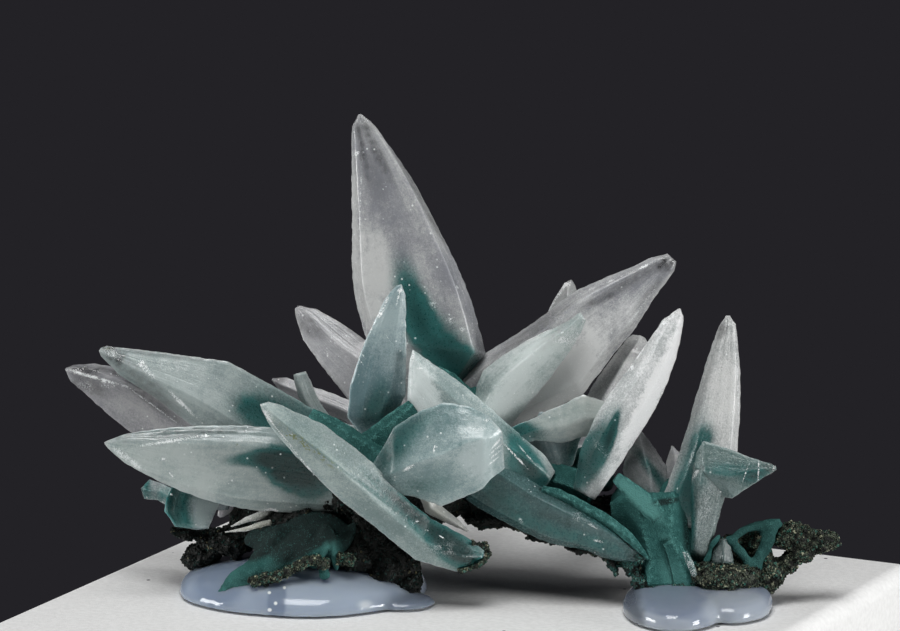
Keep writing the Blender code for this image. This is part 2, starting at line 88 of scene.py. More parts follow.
# Each ring is a crystal's width, root first: one edge's place, then the other's.
# back is how far behind the middle the root and the tip are, and flat is thickness to width.
# slant is how far the end face leans toward the show side.
CRYSTALS = (
    Crystal("spire", (3, 5), 0.62, NARROW_BEVELS, 0, (
        (-5.0, -23.0, 1.0, -22.5), (-9.2, -12.8, 2.0, -11.1), (-14.0, -4.1, 6.0, -6.4),
        (-16.2, 5.2, 2.8, 4.6), (-16.3, 14.2, -1.7, 14.2), (-16.4, 23.6, -6.8, 23.6),
        (-16.4, 31.4, -12.5, 31.8), (-15.3, 33.5, -14.8, 33.6))),
    Crystal("plume", (6, 19), 0.6, ROOF, 0, (
        (-10.0, -24.0, -2.0, -20.0), (-14.2, -18.2, -4.2, -12.8), (-18.8, -11.8, -8.7, -6.1),
        (-22.0, -7.8, -14.0, -4.1), (-24.5, -4.2, -18.7, -0.8), (-25.8, -0.4, -22.2, 1.1),
        (-25.9, 1.1, -25.0, 1.7))),
    Crystal("shield", (-4, -6), 0.6, STEEP_RIGHT, 0, (
        (-6.0, -27.0, -1.0, -26.0), (-15.0, -19.8, -11.0, -19.4), (-17.2, -17.1, -9.0, -16.1),
        (-16.8, -11.6, -7.3, -13.4), (-14.5, -4.9, -7.2, -5.8), (-10.8, 2.9, -7.3, 3.4),
        (-9.0, 4.9, -8.0, 5.2))),
    Crystal("left_upper", (1, 4), 0.62, TWO_STEP, 0, (
        (-3.0, -22.0, -5.0, -29.0), (-20.0, -17.1, -25.0, -25.8), (-29.0, -11.9, -35.0, -23.2),
        (-37.0, -7.6, -43.8, -17.9), (-44.5, -6.6, -49.2, -13.8), (-51.7, -5.7, -55.2, -10.0),
        (-57.2, -5.0, -58.2, -6.8), (-58.2, -5.4, -58.5, -5.9))),
    Crystal("left_back", (4, 11), 0.65, ROOF_LEFT, 0, (
        (-22.0, -20.0, -26.0, -30.0), (-36.7, -14.9, -42.5, -25.8), (-46.7, -11.1, -53.8, -19.1),
        (-53.3, -9.1, -58.8, -14.9), (-59.2, -8.0, -63.3, -11.0), (-62.7, -8.2, -64.0, -9.6),
        (-63.9, -8.7, -64.2, -9.0))),
    Crystal("left_lower", (-2, -6), 0.62, STEEP_LEFT, 0, (
        (-6.0, -24.0, -7.0, -31.0), (-19.2, -21.6, -20.8, -32.8), (-30.0, -18.6, -27.7, -32.9),
        (-39.2, -18.2, -37.5, -31.7), (-47.2, -18.7, -46.7, -28.6), (-53.8, -19.6, -54.3, -24.6),
        (-56.8, -20.8, -57.0, -22.1), (-57.6, -21.2, -57.5, -21.4))),
    Crystal("pale_long", (4, 12), 0.6, ROOF, 0, (
        (-7.0, -18.5, -10.0, -23.0), (-12.0, -16.1, -14.7, -20.1), (-17.2, -13.8, -17.5, -17.6),
        (-22.8, -11.8, -24.2, -14.8), (-27.2, -10.3, -28.3, -12.8), (-29.5, -10.3, -29.8, -10.9))),
    Crystal("pale_short", (4, 5), 0.6, ROOF_LEFT, 0, (
        (-21.0, -20.5, -18.0, -19.5), (-23.7, -16.4, -20.3, -16.4), (-25.3, -13.6, -22.0, -13.6),
        (-26.0, -11.2, -23.2, -10.9), (-26.2, -9.9, -24.0, -9.3))),
    Crystal("front_blade", (-11, -16), 0.6, ROOF, 0, (
        (5.8, -39.1, 5.2, -41.2), (3.3, -37.2, 1.0, -42.8), (-3.2, -33.8, -5.8, -40.8),
        (-8.3, -29.4, -12.7, -35.2), (-13.0, -24.4, -18.3, -30.8), (-21.0, -18.1, -25.3, -23.9),
        (-25.8, -16.0, -29.8, -18.8), (-29.2, -14.6, -31.5, -15.8), (-30.3, -14.4, -31.7, -14.8))),
    Crystal("front_block", (-12, -14), 0.6, ROOF, 1.6, (
        (-15.0, -27.0, -13.5, -30.5), (-12.6, -24.2, -11.4, -28.4), (-9.3, -18.6, -9.5, -29.8),
        (-5.0, -15.8, -6.0, -30.4), (-1.0, -14.4, -1.5, -31.9), (3.0, -15.0, 2.3, -30.4),
        (6.4, -16.6, 5.5, -28.9), (8.7, -19.2, 7.1, -27.0))),
    Crystal("wedge", (-5, -7), 0.65, STEEP_LEFT, 0, (
        (17.6, -26.0, 14.3, -30.8), (16.0, -23.4, 10.4, -30.6), (10.3, -18.6, 5.0, -29.1),
        (6.5, -15.2, 0.0, -25.8), (1.3, -10.8, -4.2, -19.9), (-3.3, -7.6, -7.2, -14.4),
        (-6.2, -5.6, -6.8, -7.8))),
    Crystal("keel", (-5, -11), 0.65, STEEP_LEFT, 0, (
        (2.0, -20.0, -3.0, -26.0), (9.2, -24.4, 3.3, -31.2), (15.8, -28.8, 10.3, -35.1),
        (21.3, -31.6, 16.3, -37.9), (26.0, -34.2, 22.0, -39.1), (30.0, -37.4, 27.0, -40.9),
        (33.3, -40.2, 31.8, -41.4))),
    Crystal("middle", (-1.5, -2), 0.65, ROOF_LEFT, 0, (
        (-1.0, -19.0, 4.0, -26.0), (3.3, -14.1, 8.3, -21.6), (5.5, -9.1, 10.7, -17.8),
        (10.0, -5.8, 15.0, -12.6), (15.0, -2.9, 19.0, -7.4), (19.2, -1.1, 21.8, -3.1),
        (21.7, 0.6, 22.7, -0.9))),
    Crystal("right_great", (5, 5), 0.62, FLAT_TOP, 0, (
        (0.0, -11.0, 4.5, -23.0), (6.2, -6.1, 10.3, -18.8), (11.7, -2.6, 16.3, -16.1),
        (16.2, 0.6, 22.2, -13.2), (20.7, 3.9, 26.8, -7.2), (25.2, 6.1, 30.7, -2.4),
        (30.5, 8.2, 34.3, 3.1), (34.2, 9.8, 37.5, 7.4), (36.2, 10.3, 37.8, 8.9))),
    Crystal("right_peep", (8, 15), 0.6, ROOF, 0, (
        (11.0, -10.0, 18.0, -11.0), (13.3, -4.9, 20.8, -4.9), (16.3, 0.8, 22.5, 1.8),
        (18.0, 3.8, 21.2, 4.2), (19.0, 5.4, 21.0, 4.9), (20.1, 6.0, 20.3, 5.9))),
    Crystal("right_shade", (4, 14), 0.6, ROOF, 0, (
        (6.0, -18.0, 10.0, -24.0), (20.8, -17.4, 27.0, -17.4), (23.3, -12.4, 28.7, -13.2),
        (26.7, -7.4, 33.3, -6.1), (29.2, -4.1, 33.3, -4.9), (30.3, -3.2, 32.7, -3.8))),
    Crystal("right_blade", (-7, -7), 0.62, THREE_FACES, 0, (
        (20.5, -28.8, 24.2, -30.8), (21.7, -22.4, 27.3, -26.4), (25.0, -15.4, 31.3, -20.4),
        (29.5, -9.1, 35.0, -14.1), (32.7, -4.6, 37.5, -7.8), (35.3, -0.8, 38.8, -2.4),
        (37.5, 0.8, 39.0, -0.2), (38.2, 1.2, 38.5, 1.1))),
    Crystal("under_upper", (-5, -5), 0.6, ROOF, 0, (
        (7.0, -20.0, 8.5, -23.5), (14.0, -16.9, 14.2, -20.8), (18.3, -14.9, 18.8, -21.3),
        (22.2, -13.1, 22.5, -20.2), (27.0, -14.6, 26.8, -19.0), (29.5, -16.4, 29.4, -17.4))),
    Crystal("under_lower", (-3, -3), 0.6, ROOF, 0, (
        (14.8, -16.0, 23.3, -17.0), (12.6, -20.6, 21.4, -21.8), (15.3, -24.8, 20.6, -24.8),
        (17.5, -26.8, 18.6, -26.8))),
    Crystal("saddle", (-5, -1), 0.6, ROOF, 0, (
        (31.0, -33.5, 37.0, -33.0), (30.3, -30.2, 36.3, -28.8), (28.7, -25.8, 36.2, -25.1),
        (29.7, -21.6, 33.7, -21.4), (30.7, -18.8, 32.0, -19.2))),
    Crystal("saddle_tip", (-4, 3), 0.6, ROOF, 0, (
        (35.0, -32.0, 41.0, -31.0), (35.3, -27.1, 40.0, -25.8), (36.0, -24.2, 39.0, -23.4),
        (36.8, -21.7, 37.3, -21.8))),
    Crystal("right_tall", (-6, -4), 0.65, STEEP_LEFT, 0, (
        (36.5, -35.0, 43.5, -36.0), (35.7, -29.4, 45.3, -30.8), (38.8, -20.8, 48.0, -22.4),
        (40.7, -14.4, 48.4, -14.4), (42.3, -9.1, 48.4, -9.1), (43.8, -4.4, 48.0, -4.4),
        (45.0, -1.4, 47.7, -1.4), (46.0, 0.0, 46.7, 0.0))),
    Crystal("right_spur", (-8, -12), 0.65, ROOF, 0, (
        (41.0, -22.8, 41.2, -27.1), (42.2, -20.8, 44.0, -30.2), (46.7, -22.2, 47.0, -30.6),
        (50.8, -23.8, 51.0, -27.9), (53.7, -24.7, 54.0, -26.1), (54.3, -25.1, 54.4, -25.7))),
    Crystal("right_prism", (-8, -9), 0.8, STEEP_LEFT, 0.8, (
        (40.7, -24.4, 46.3, -27.4), (40.2, -27.4, 45.7, -30.6), (40.2, -34.1, 44.3, -35.8),
        (40.0, -39.6, 42.8, -40.5))),
    Crystal("teal_prism", (-10, -7), 0.55, PRISM_FACES, 0, (
        (32.0, -45.6, 41.2, -45.2), (31.8, -41.4, 40.2, -40.8), (29.4, -37.4, 39.9, -36.4),
        (26.8, -33.6, 39.6, -32.8), (26.6, -31.2, 38.8, -30.4), (28.0, -30.2, 37.6, -29.8))),
    Crystal("teal_step", (-12.0, -11.2), 0.3, ROOF, 0, (
        (37.6, -46.2, 41.2, -45.6), (36.8, -42.6, 40.6, -42.0), (36.2, -40.2, 39.4, -39.4),
        (35.4, -38.2, 37.8, -36.8))),
    Crystal("teal_cap", (-12.6, -11.4), 0.5, FLAT_TOP, 0.5, (
        (33.7, -34.6, 35.9, -32.8), (32.0, -33.1, 34.6, -30.8), (30.0, -31.1, 32.2, -28.8),
        (28.3, -29.3, 30.0, -27.3), (27.2, -27.8, 28.4, -26.3))),
    Crystal("teal_chips", (-12.8, -12.4), 0.6, ROOF, 0, (
        (38.6, -39.4, 39.6, -39.2), (39.2, -41.2, 40.6, -40.9), (40.0, -43.0, 41.2, -42.7),
        (40.8, -44.5, 41.5, -44.2))),
    Crystal("teal_neck", (-8, -5), 0.7, ROOF_LEFT, 0, (
        (34.0, -40.5, 41.4, -41.0), (35.8, -35.5, 41.0, -36.0), (37.2, -31.5, 40.8, -31.8),
        (38.2, -29.0, 40.8, -28.6), (39.2, -27.2, 40.4, -26.8))),
    Crystal("teal_bridge", (-3, -5), 0.6, ROOF, 0, (
        (14.5, -24.5, 14.0, -30.0), (18.0, -24.6, 18.0, -30.2), (21.2, -25.4, 21.0, -31.6),
        (24.0, -28.6, 23.0, -33.0))),
    Crystal("keel_bevel", (-8.2, -12.4), 0.6, ROOF, 0, (
        (15.6, -28.3, 15.0, -29.9), (18.2, -28.8, 18.0, -30.8), (23.2, -31.3, 22.6, -33.2),
        (28.2, -34.4, 27.4, -36.2), (31.2, -37.2, 30.4, -38.7), (33.3, -40.3, 32.9, -40.9))),
    Crystal("small_grey", (-10, -9), 0.7, ROOF, 0, (
        (43.4, -41.6, 47.4, -41.4), (43.9, -39.2, 47.0, -39.0), (44.7, -37.4, 46.6, -37.3))),
    Crystal("lilac_chip", (1, 1), 0.3, ROOF, 0, (
        (-36.2, -30.8, -38.2, -30.8), (-36.0, -32.2, -38.8, -32.6), (-36.8, -33.1, -38.9, -33.4),
        (-37.6, -33.6, -38.4, -33.7))),
    Crystal("low_left_small", (-1, 6), 0.6, ROOF, 0, (
        (-36.0, -28.5, -37.0, -32.5), (-44.2, -30.2, -45.3, -32.8), (-47.5, -28.1, -48.7, -30.9),
        (-50.0, -27.2, -51.0, -30.7), (-51.4, -28.6, -51.5, -29.2))),
    Crystal("low_left", (0, -3), 0.5, ROOF_LEFT, 0, (
        (-45.0, -25.6, -36.8, -27.0), (-47.3, -30.4, -38.2, -31.0), (-47.7, -32.6, -39.2, -33.4),
        (-45.9, -35.1, -40.2, -35.5))),
    Crystal("sliver_left", (3, -7), 0.4, ROOF, 0, (
        (-20.0, -31.0, -20.0, -33.0), (-31.4, -32.4, -31.2, -34.0), (-34.6, -33.8, -34.4, -34.8),
        (-36.6, -35.1, -36.3, -35.3))),
    Crystal("sliver_low", (2, -9), 0.4, ROOF_LEFT, 0, (
        (-20.0, -32.0, -20.0, -34.0), (-31.2, -34.2, -31.0, -35.3), (-34.4, -35.2, -34.1, -36.0),
        (-37.6, -36.0, -37.4, -36.2))),
    Crystal("sliver_right", (-11, -10), 0.5, ROOF, 0, (
        (-5.0, -23.0, -6.0, -28.0), (-2.0, -31.2, -4.2, -32.8), (1.3, -33.8, -0.3, -34.8),
        (3.3, -35.8, 2.7, -36.1))),
    Crystal("teal_plank_left", (-9, -7), 0.6, STEEP_LEFT, 0, (
        (-9.2, -23.2, -10.8, -26.6), (-14.0, -20.1, -16.7, -24.4), (-18.3, -17.4, -20.8, -20.8),
        (-22.7, -15.4, -23.7, -17.1))),
    Crystal("teal_plank_right", (-8, -7), 0.35, STEEP_RIGHT, 0, (
        (-16.6, -22.4, -13.6, -28.0), (-15.0, -19.8, -12.0, -24.8), (-10.8, -16.8, -8.2, -21.4),
        (-7.2, -14.2, -5.0, -18.0), (-5.6, -13.6, -4.6, -15.0))),
    Crystal("teal_saddle", (-2, -1), 0.5, ROOF, 0, (
        (7.4, -11.0, 9.0, -17.0), (3.4, -12.0, 4.4, -18.0), (0.8, -9.6, 0.2, -15.0),
        (-1.8, -8.4, -2.2, -12.4))),
    Crystal("rear_left", (4, 34), 0.6, FLAT_TOP, 0, (
        (-11.0, -27.0, -18.0, -25.0), (-15.0, -20.0, -24.0, -19.0), (-19.5, -15.0, -26.5, -15.5),
        (-24.0, -13.5, -25.5, -14.5))),
    Crystal("rear_middle", (2, 40), 0.7, FLAT_TOP, 0, (
        (-6.0, -21.0, 3.0, -22.0), (-6.0, -17.0, 5.5, -17.5), (-3.0, -11.0, 5.0, -11.0),
        (0.0, -7.5, 1.8, -7.5))),
    Crystal("rear_right", (3, 30), 0.6, FLAT_TOP, 0, (
        (7.0, -20.0, 11.0, -26.0), (17.0, -19.0, 26.0, -23.0), (21.0, -15.0, 27.5, -18.0),
        (25.0, -14.5, 26.5, -15.0))),
)

# Rounded masses of the crust: where each one's middle is, its half-sizes across, back and up, and
# how many degrees it is turned as seen
LUMPS_LEFT = (
    Lump(-25.0, -34.0, 3, (12.0, 8.0, 6.0)), Lump(-13.0, -36.5, -1, (5.5, 7.0, 6.5)),
    Lump(-9.5, -40.5, -3, (4.6, 6.0, 5.0)), Lump(-7.2, -44.6, -5, (2.5, 3.2, 3.4)),
    Lump(-41.4, -39.8, 4, (3.9, 4.0, 2.1), 28), Lump(-42.5, -36.3, 5, (4.4, 4.0, 0.7), -6),
    Lump(-36.8, -37.6, 3, (4.4, 5.0, 2.2)), Lump(-35.6, -40.0, 1, (0.9, 1.4, 1.6)),
    Lump(-16.0, -40.0, -5, (3.6, 4.0, 2.6)), Lump(-12.2, -43.6, -5, (2.6, 3.4, 1.8)),
)
LUMPS_MIDDLE = (
    Lump(-8.3, -28.0, 3, (16.0, 12.0, 7.0)), Lump(5.0, -28.5, 5, (10.5, 9.0, 5.0)),
    Lump(14.0, -30.0, 4, (9.0, 7.0, 3.6), -35), Lump(7.0, -33.6, -1, (4.6, 4.0, 1.7)),
    Lump(12.4, -34.2, -3, (4.4, 3.4, 1.2)), Lump(22.0, -34.0, 1, (12.0, 7.0, 3.8)),
    Lump(17.4, -36.8, -5, (4.6, 3.0, 1.0)), Lump(23.5, -38.6, -7, (4.6, 3.0, 0.9)),
)
LUMPS_RIGHT = (
    Lump(34.5, -38.0, -4, (5.6, 5.4, 7.0)), Lump(45.0, -43.3, -9, (5.6, 5.4, 2.5)),
    Lump(49.4, -43.6, -9, (2.4, 3.2, 2.4)), Lump(53.2, -43.2, -7, (2.2, 2.6, 3.2)),
    Lump(51.9, -39.0, -6, (1.7, 2.2, 3.4)), Lump(57.4, -36.9, -6, (3.8, 2.3, 2.5)),
    Lump(61.6, -37.6, -5, (3.5, 2.1, 1.9)), Lump(56.4, -41.4, -6.5, (1.9, 2.2, 1.7)),
    Lump(58.6, -39.7, -6, (2.4, 2.1, 1.4)), Lump(54.2, -36.2, -5, (2.6, 1.6, 1.5)),
    Lump(33.0, -44.6, -9, (1.8, 2.6, 1.2)), Lump(46.6, -39.6, -5, (3.6, 2.6, 3.0)),
    Lump(50.4, -37.6, -5, (2.4, 2.2, 2.2)), Lump(43.4, -40.4, -5, (1.6, 2.0, 2.4)),
)

# Rows of small knobs along the edges: each is a knob's place and size
RIM_LEFT = (
    Lump(-32.6, -44.3, -12, (1.3, 1.2, 0.9)), Lump(-30.8, -43.9, -12, (1.5, 1.2, 1.1)),
    Lump(-29.0, -43.4, -12, (1.3, 1.2, 0.9)), Lump(-27.2, -42.7, -12, (1.4, 1.2, 1.0)),
    Lump(-25.4, -41.8, -12, (1.3, 1.2, 1.0)), Lump(-23.8, -41.0, -12, (1.4, 1.2, 0.9)),
    Lump(-22.2, -40.7, -11.5, (1.3, 1.2, 0.9)), Lump(-21.0, -41.4, -11.5, (1.0, 1.1, 1.2)),
    Lump(-18.2, -40.6, -10, (1.0, 1.1, 1.2)), Lump(-16.8, -40.9, -10, (1.1, 1.2, 1.0)),
)
RIM_MIDDLE = (
    Lump(4.0, -38.0, -11, (0.8, 1.0, 0.6)), Lump(5.6, -38.4, -10.5, (0.8, 1.0, 0.7)),
    Lump(6.3, -39.6, -10.5, (0.6, 0.9, 0.8)), Lump(5.8, -40.8, -11, (0.8, 0.9, 0.6)),
    Lump(4.4, -41.7, -11.5, (1.0, 0.9, 0.5)), Lump(2.6, -42.4, -11.5, (1.1, 0.9, 0.4)),
    Lump(26.4, -40.2, -9, (1.2, 1.0, 0.7)), Lump(27.1, -41.5, -9, (0.7, 0.7, 1.0)),
    Lump(27.6, -43.0, -9, (0.6, 0.6, 0.8)), Lump(24.6, -39.8, -8.5, (1.3, 1.0, 0.5)),
    Lump(21.2, -38.6, -7.5, (1.4, 1.0, 0.5)), Lump(18.6, -37.9, -6.5, (1.2, 1.0, 0.5)),
    Lump(14.6, -36.6, -5.5, (1.3, 1.0, 0.5)), Lump(11.4, -35.3, -4.5, (1.2, 1.0, 0.5)),
    Lump(29.0, -41.2, -9, (1.2, 1.0, 0.8)),
)

# The velvety green masses: long knobs laid along their ridges
TEAL_FOOT = (
    Lump(-27.5, -39.8, -6, (9.5, 4.5, 3.0), 33), Lump(-34.0, -43.4, -8, (5.2, 2.8, 1.9), 34),
    Lump(-36.9, -45.3, -9.5, (2.6, 1.4, 0.9), 30), Lump(-33.6, -44.9, -9.5, (3.6, 1.6, 0.8), 6),
    Lump(-31.6, -40.0, -6, (6.0, 3.0, 1.3), 56), Lump(-27.0, -36.0, -2, (7.5, 5.0, 2.6), 12),
    Lump(-24.0, -39.6, -8, (5.5, 3.2, 2.0), 36), Lump(-21.6, -38.4, -8, (4.2, 3.0, 1.5), 70),
    Lump(-19.4, -38.9, -8.5, (3.8, 2.0, 0.9), 98), Lump(-17.4, -37.4, -6, (3.4, 2.6, 1.2), 60),
    Lump(-21.8, -34.6, -2, (6.0, 4.5, 2.4), -10), Lump(-29.6, -42.4, -9.5, (3.6, 1.8, 1.0), 26),
    Lump(-20.9, -43.3, -11.5, (1.0, 0.9, 0.9)), Lump(-21.2, -42.0, -11, (0.9, 0.9, 1.2)),
)
TEAL_MIDDLE = (
    Lump(36.6, -33.5, -3, (4.2, 4.0, 6.5)), Lump(38.0, -40.0, -5, (3.6, 4.0, 6.0)),
    Lump(30.2, -31.5, -4, (3.6, 4.0, 3.6)), Lump(40.6, -42.8, -7, (2.0, 3.0, 2.6)),
    Lump(24.0, -25.6, 1, (4.6, 4.0, 2.4), -50), Lump(18.4, -26.8, 0, (3.6, 4.0, 2.6), -30),
)
GREEN_SKIRT = (
    Lump(31.6, -44.3, -11, (1.3, 1.5, 1.3)), Lump(33.8, -45.3, -11.5, (1.4, 1.5, 0.7)),
    Lump(36.4, -45.4, -11.5, (1.6, 1.5, 0.6)), Lump(39.2, -45.2, -11.5, (1.5, 1.5, 0.6)),
    Lump(41.0, -44.4, -11, (0.9, 1.5, 1.1)), Lump(26.9, -41.2, -9.5, (0.9, 0.9, 1.4), 15),
    Lump(27.5, -42.9, -9.5, (0.6, 0.7, 0.9)), Lump(25.2, -39.0, -9, (2.2, 1.2, 0.5), -32),
    Lump(30.2, -41.8, -10, (1.5, 1.4, 1.9), 20), Lump(31.6, -40.4, -11, (1.1, 1.2, 0.9), -30),
)
TEAL_WEB = (
    Lump(51.6, -35.0, -7.4, (3.8, 0.9, 0.8), 14), Lump(54.4, -34.7, -6.6, (1.3, 0.9, 0.6), -10),
    Lump(53.2, -36.0, -7.2, (1.7, 0.9, 1.3), 30), Lump(52.8, -38.0, -8.0, (3.2, 1.0, 1.15), 70),
    Lump(51.2, -41.6, -8.6, (3.0, 1.1, 1.0), 80), Lump(48.4, -39.4, -9.2, (2.4, 0.9, 0.9), -48),
    Lump(49.9, -41.8, -9.2, (2.2, 0.9, 0.9), -66), Lump(50.7, -44.2, -9.4, (0.8, 0.9, 1.2)),
    Lump(48.6, -36.0, -8.4, (1.8, 0.8, 0.7), 30), Lump(46.9, -37.6, -9.0, (1.0, 0.8, 1.2), 60),
    Lump(44.1, -37.7, -9.4, (1.7, 0.9, 0.5), 55), Lump(43.0, -40.4, -9.4, (1.9, 0.9, 0.6), 70),
)

# How uneven a rounded mass is, how fine that is, and how often its faces are divided. Masses melt
# into one another with the given voxel, and stay clear of the block by the given distance.
LUMP_ROUGHNESS = 0.16
LUMP_GRAIN = 2.6
LUMP_DIVISIONS = 4
CRUST_VOXEL = 0.45
CRUST_CLEARANCE = 0.3

# Pits and knobs of the crust: how wide they are and how deep or high. The velvety masses have only
# a share of that depth.
PIT = (2.4, 0.9)
KNOB = (1.0, 0.35)
VELVET_SHARE = 0.25

# Small crystals on the crust: how many to a square millimetre, with fewer on the black parts, which
# are mostly hidden, the middling one's size and flatness, and how small and large others are to it
GRAIN_DENSITY = 5.0
HIDDEN_GRAIN_DENSITY = 3.9
GRAIN_SIZE = 0.32
GRAIN_FLATNESS = 0.7
SMALLEST_GRAIN = 0.5
LARGEST_GRAIN = 1.5

# Glue mounds: middle across and back, half-sizes across, back and up, and steepness of the sides,
# which are steeper with a smaller number
LEFT_MOUNDS = ((-24.5, 0.8, (21.0, 17.3, 6.4), 0.8), (-8.0, -7.8, (5.6, 4.6, 1.9), 0.8))
RIGHT_MOUNDS = ((37.2, -13.0, (8.6, 13.0, 4.5), 0.5), (46.2, -10.0, (7.6, 11.0, 4.2), 0.5))

# Points round a mound, the share by which its outline wavers, how far its flat side is above the
# block, and the voxel and the number of smoothing passes that join mounds
MOUND_SEGMENTS = 96
MOUND_BULGE = 0.03
MOUND_LIFT = 0.3
MOUND_VOXEL = 0.5
MOUND_SMOOTHING = 8

# Rounded-off width of the block's edges, and the number of faces across it
BLOCK_ARRIS = 3.0
ARRIS_STEPS = 8

# The floor's left, right, front and back
FLOOR_REACH = (-83.0, 140.0, -150.0, 105.0)
FLOOR_SQUARES = 4

# Rounded-off width of a crystal's edges, the longest part of a side that may be rounded off, how
# far it is cut there, and the bend between rings that stays a corner
EDGE_ROUNDING = 0.15
LONGEST_CUT = 0.3
CORNER_CUT = 0.3
CORNER_BEND = math.radians(13.0)

# Size of the faces of a crystal's mesh, the fewest of them along a side or between two rings, and
# the least distance between two rings
FACE_SIZE = 0.55
FEWEST_FACES = 2
SHORTEST_STEP = 0.2

# Points closer than the first are one point, and no side is taken as shorter than the second
WELD = 1e-4
TINY = 1e-6

# What counts as the distance to an edge on a piece that has none
NO_EDGE_NEAR = 9.0

# Relief of a crystal's faces: width and height of its waves, ripples, grains and chips, its growth
# ribs' number, length and height and where their pattern starts, how soon chips fade away from the
# crystal's two edges, and how strong the grains are on a velvety one
WAVE = (9.0, 0.06)
RIPPLE = (2.6, 0.03)
CRYSTAL_GRAIN = (0.9, 0.03)
CHIP = (1.1, 0.14)
RIB_COUNT = 9.0
RIB_LENGTH = 30.0
RIB_HEIGHT = 0.05
RIB_START = 3.7
EDGE_FADE = 6
VELVET_GRAIN = 1.5

# Soft lights: name, place across, back and up, side in metres, and power. All face one place.
LIGHTS = (
    ("key", (-60.0, -300.0, 640.0), 0.4, 4.2),
    ("from_right", (690.0, -300.0, 0.0), 0.3, 4.3),
    ("from_left", (-710.0, -130.0, 10.0), 0.3, 3.6),
)
LIT_PLACE = (0.0, 0.0, -20.0)
ROOM_DARK = (0.0168, 0.016, 0.0194, 1.0)

# The camera's lens and the width of its picture in mm, and the nearest that it sees in metres
LENS = 240.0
SENSOR_WIDTH = 36.0
NEAREST_SEEN = 0.01

# A patch of a crystal's stone: its middle and half-length and half-width in mm, as the show side
# sees it, how far its length is turned from level, how soft its rim is, and how strong it is.
Patch = namedtuple("Patch", "across up long wide turn soft full")

# Finish of a crystal: pale is its colour where it is milky and dim where it is not, grain is how
# sugary it is, and haze how much light goes through it all over. milk, clear and green are patches
# of milky, see-through and green stone, and some milk patches paint light on lit facets, while on
# the glue some paint shade. frost is white grains, chips and bubbles, and also painted glints and
# painted highlight lines along edges, and moss is green-brown specks. A patch of negative strength
# takes that away.
Look = namedtuple("Look", "pale dim grain haze milk clear green frost moss", defaults=((), (), (), (), ()))

# How much softer the rims of green patches are, and how far any patch goes through a crystal
GREEN_SOFTNESS = 0.35
ENDLESS = 1e6

# Colours of stone, crust, glue, paint and floor
LILAC = (0.56, 0.56, 0.57)
LILAC_DIM = (0.30, 0.31, 0.335)
WARM = (0.66, 0.67, 0.66)
WARM_DIM = (0.38, 0.40, 0.40)
GREENISH = (0.55, 0.61, 0.595)
GREENISH_DIM = (0.32, 0.40, 0.395)
BLUISH = (0.44, 0.54, 0.55)
BLUISH_DIM = (0.15, 0.25, 0.27)
TEAL = (0.036, 0.168, 0.160)
TEAL_DARK = (0.010, 0.058, 0.056)
TEAL_DEEP = (0.002, 0.032, 0.030)
TEAL_MATT = (0.030, 0.122, 0.112)
TEAL_SHADE = (0.013, 0.074, 0.068)
# Near-black green of painted shade, and pale green of painted light, of paler edges and of pale grains
TEAL_PAINTED_SHADE = (0.004, 0.014, 0.013)
TEAL_PALE_AND_LIT = (0.075, 0.225, 0.205)
# Near-black of the painted shade in the crust's hollows
DRUSE_HOLLOW_SHADE = (0.004, 0.005, 0.004)
# White of frost, chips and bubbles, also used for painted highlights and glints
FROST_AND_HIGHLIGHT = (0.88, 0.91, 0.91)
MOSS = (0.16, 0.20, 0.05)
CLEAR_STONE = (0.95, 0.96, 0.96, 1.0)
CLEAR_GLUE = (0.9, 0.92, 0.96, 1.0)
PAINT_DIM = (0.80, 0.80, 0.79)
PAINT_PALE = (0.90, 0.90, 0.89)
PAINT_SPECK = (0.05, 0.04, 0.06)
FLOOR_DIM = (0.42, 0.42, 0.41)
FLOOR_PALE = (0.48, 0.48, 0.47)

# Finishes of the crust: its ground, its green and its pale crystals, whose colour also paints glints, and the
# share of pale ones, which also sets how strong the painted glints are
BLACK_DRUSE = ((0.004, 0.005, 0.004), (0.006, 0.032, 0.027), (0.11, 0.10, 0.055), 0.04)
OLIVE_DRUSE = ((0.038, 0.050, 0.034), (0.024, 0.13, 0.10), (0.32, 0.33, 0.23), 0.15)
GREEN_DRUSE = ((0.02, 0.075, 0.066), (0.03, 0.15, 0.13), (0.16, 0.26, 0.22), 0.1)

# Patches of painted light and painted shade on the velvety green faces, and the crystals that are one green
# prism
PRISM_CRYSTALS = ("teal_prism", "teal_step", "teal_cap")
PRISM_PAINTED_LIGHT = (
    Patch(31.6, -30.6, 5.0, 1.3, -44, 0.4, 1.2), Patch(37.0, -43.0, 3.6, 2.0, -60, 0.8, 0.7),
    Patch(36.2, -37.2, 1.6, 0.6, -30, 0.8, 0.6),
)
PRISM_PAINTED_SHADE = (
    Patch(29.6, -34.4, 4.6, 2.2, -52, 0.6, 0.2), Patch(39.6, -36.0, 4.5, 0.8, 88, 0.7, 0.7),
    Patch(36.0, -31.0, 2.2, 0.6, 10, 0.5, 0.9),
)
# Painted light on the lit ridges and tip of the green foot, and painted shade on its upper part, in the
# shadow of the crystal above
FOOT_PAINTED_LIGHT = (
    Patch(-20.0, -39.4, 1.2, 3.0, -5, 0.8, 0.7), Patch(-36.5, -45.4, 2.4, 0.7, 28, 0.8, 0.3),
)
FOOT_PAINTED_SHADE = (
    Patch(-28.0, -35.0, 10.0, 4.2, 10, 0.5, 1.6), Patch(-33.0, -38.4, 2.6, 2.2, 60, 0.7, 1.1),
    Patch(-24.5, -38.4, 3.4, 1.4, 35, 0.8, 0.8), Patch(-16.5, -37.0, 2.6, 3.4, 0, 0.8, 1.0),
    Patch(-28.5, -41.4, 5.0, 1.3, 35, 0.9, 0.55), Patch(-35.0, -44.0, 3.0, 1.5, 40, 0.9, 0.35),
)
# Painted shade over the middle of the green web, where its holes lie in shade
WEB_PAINTED_SHADE = (Patch(51.0, -38.0, 6.0, 6.0, 0, 0.5, 0.45),)

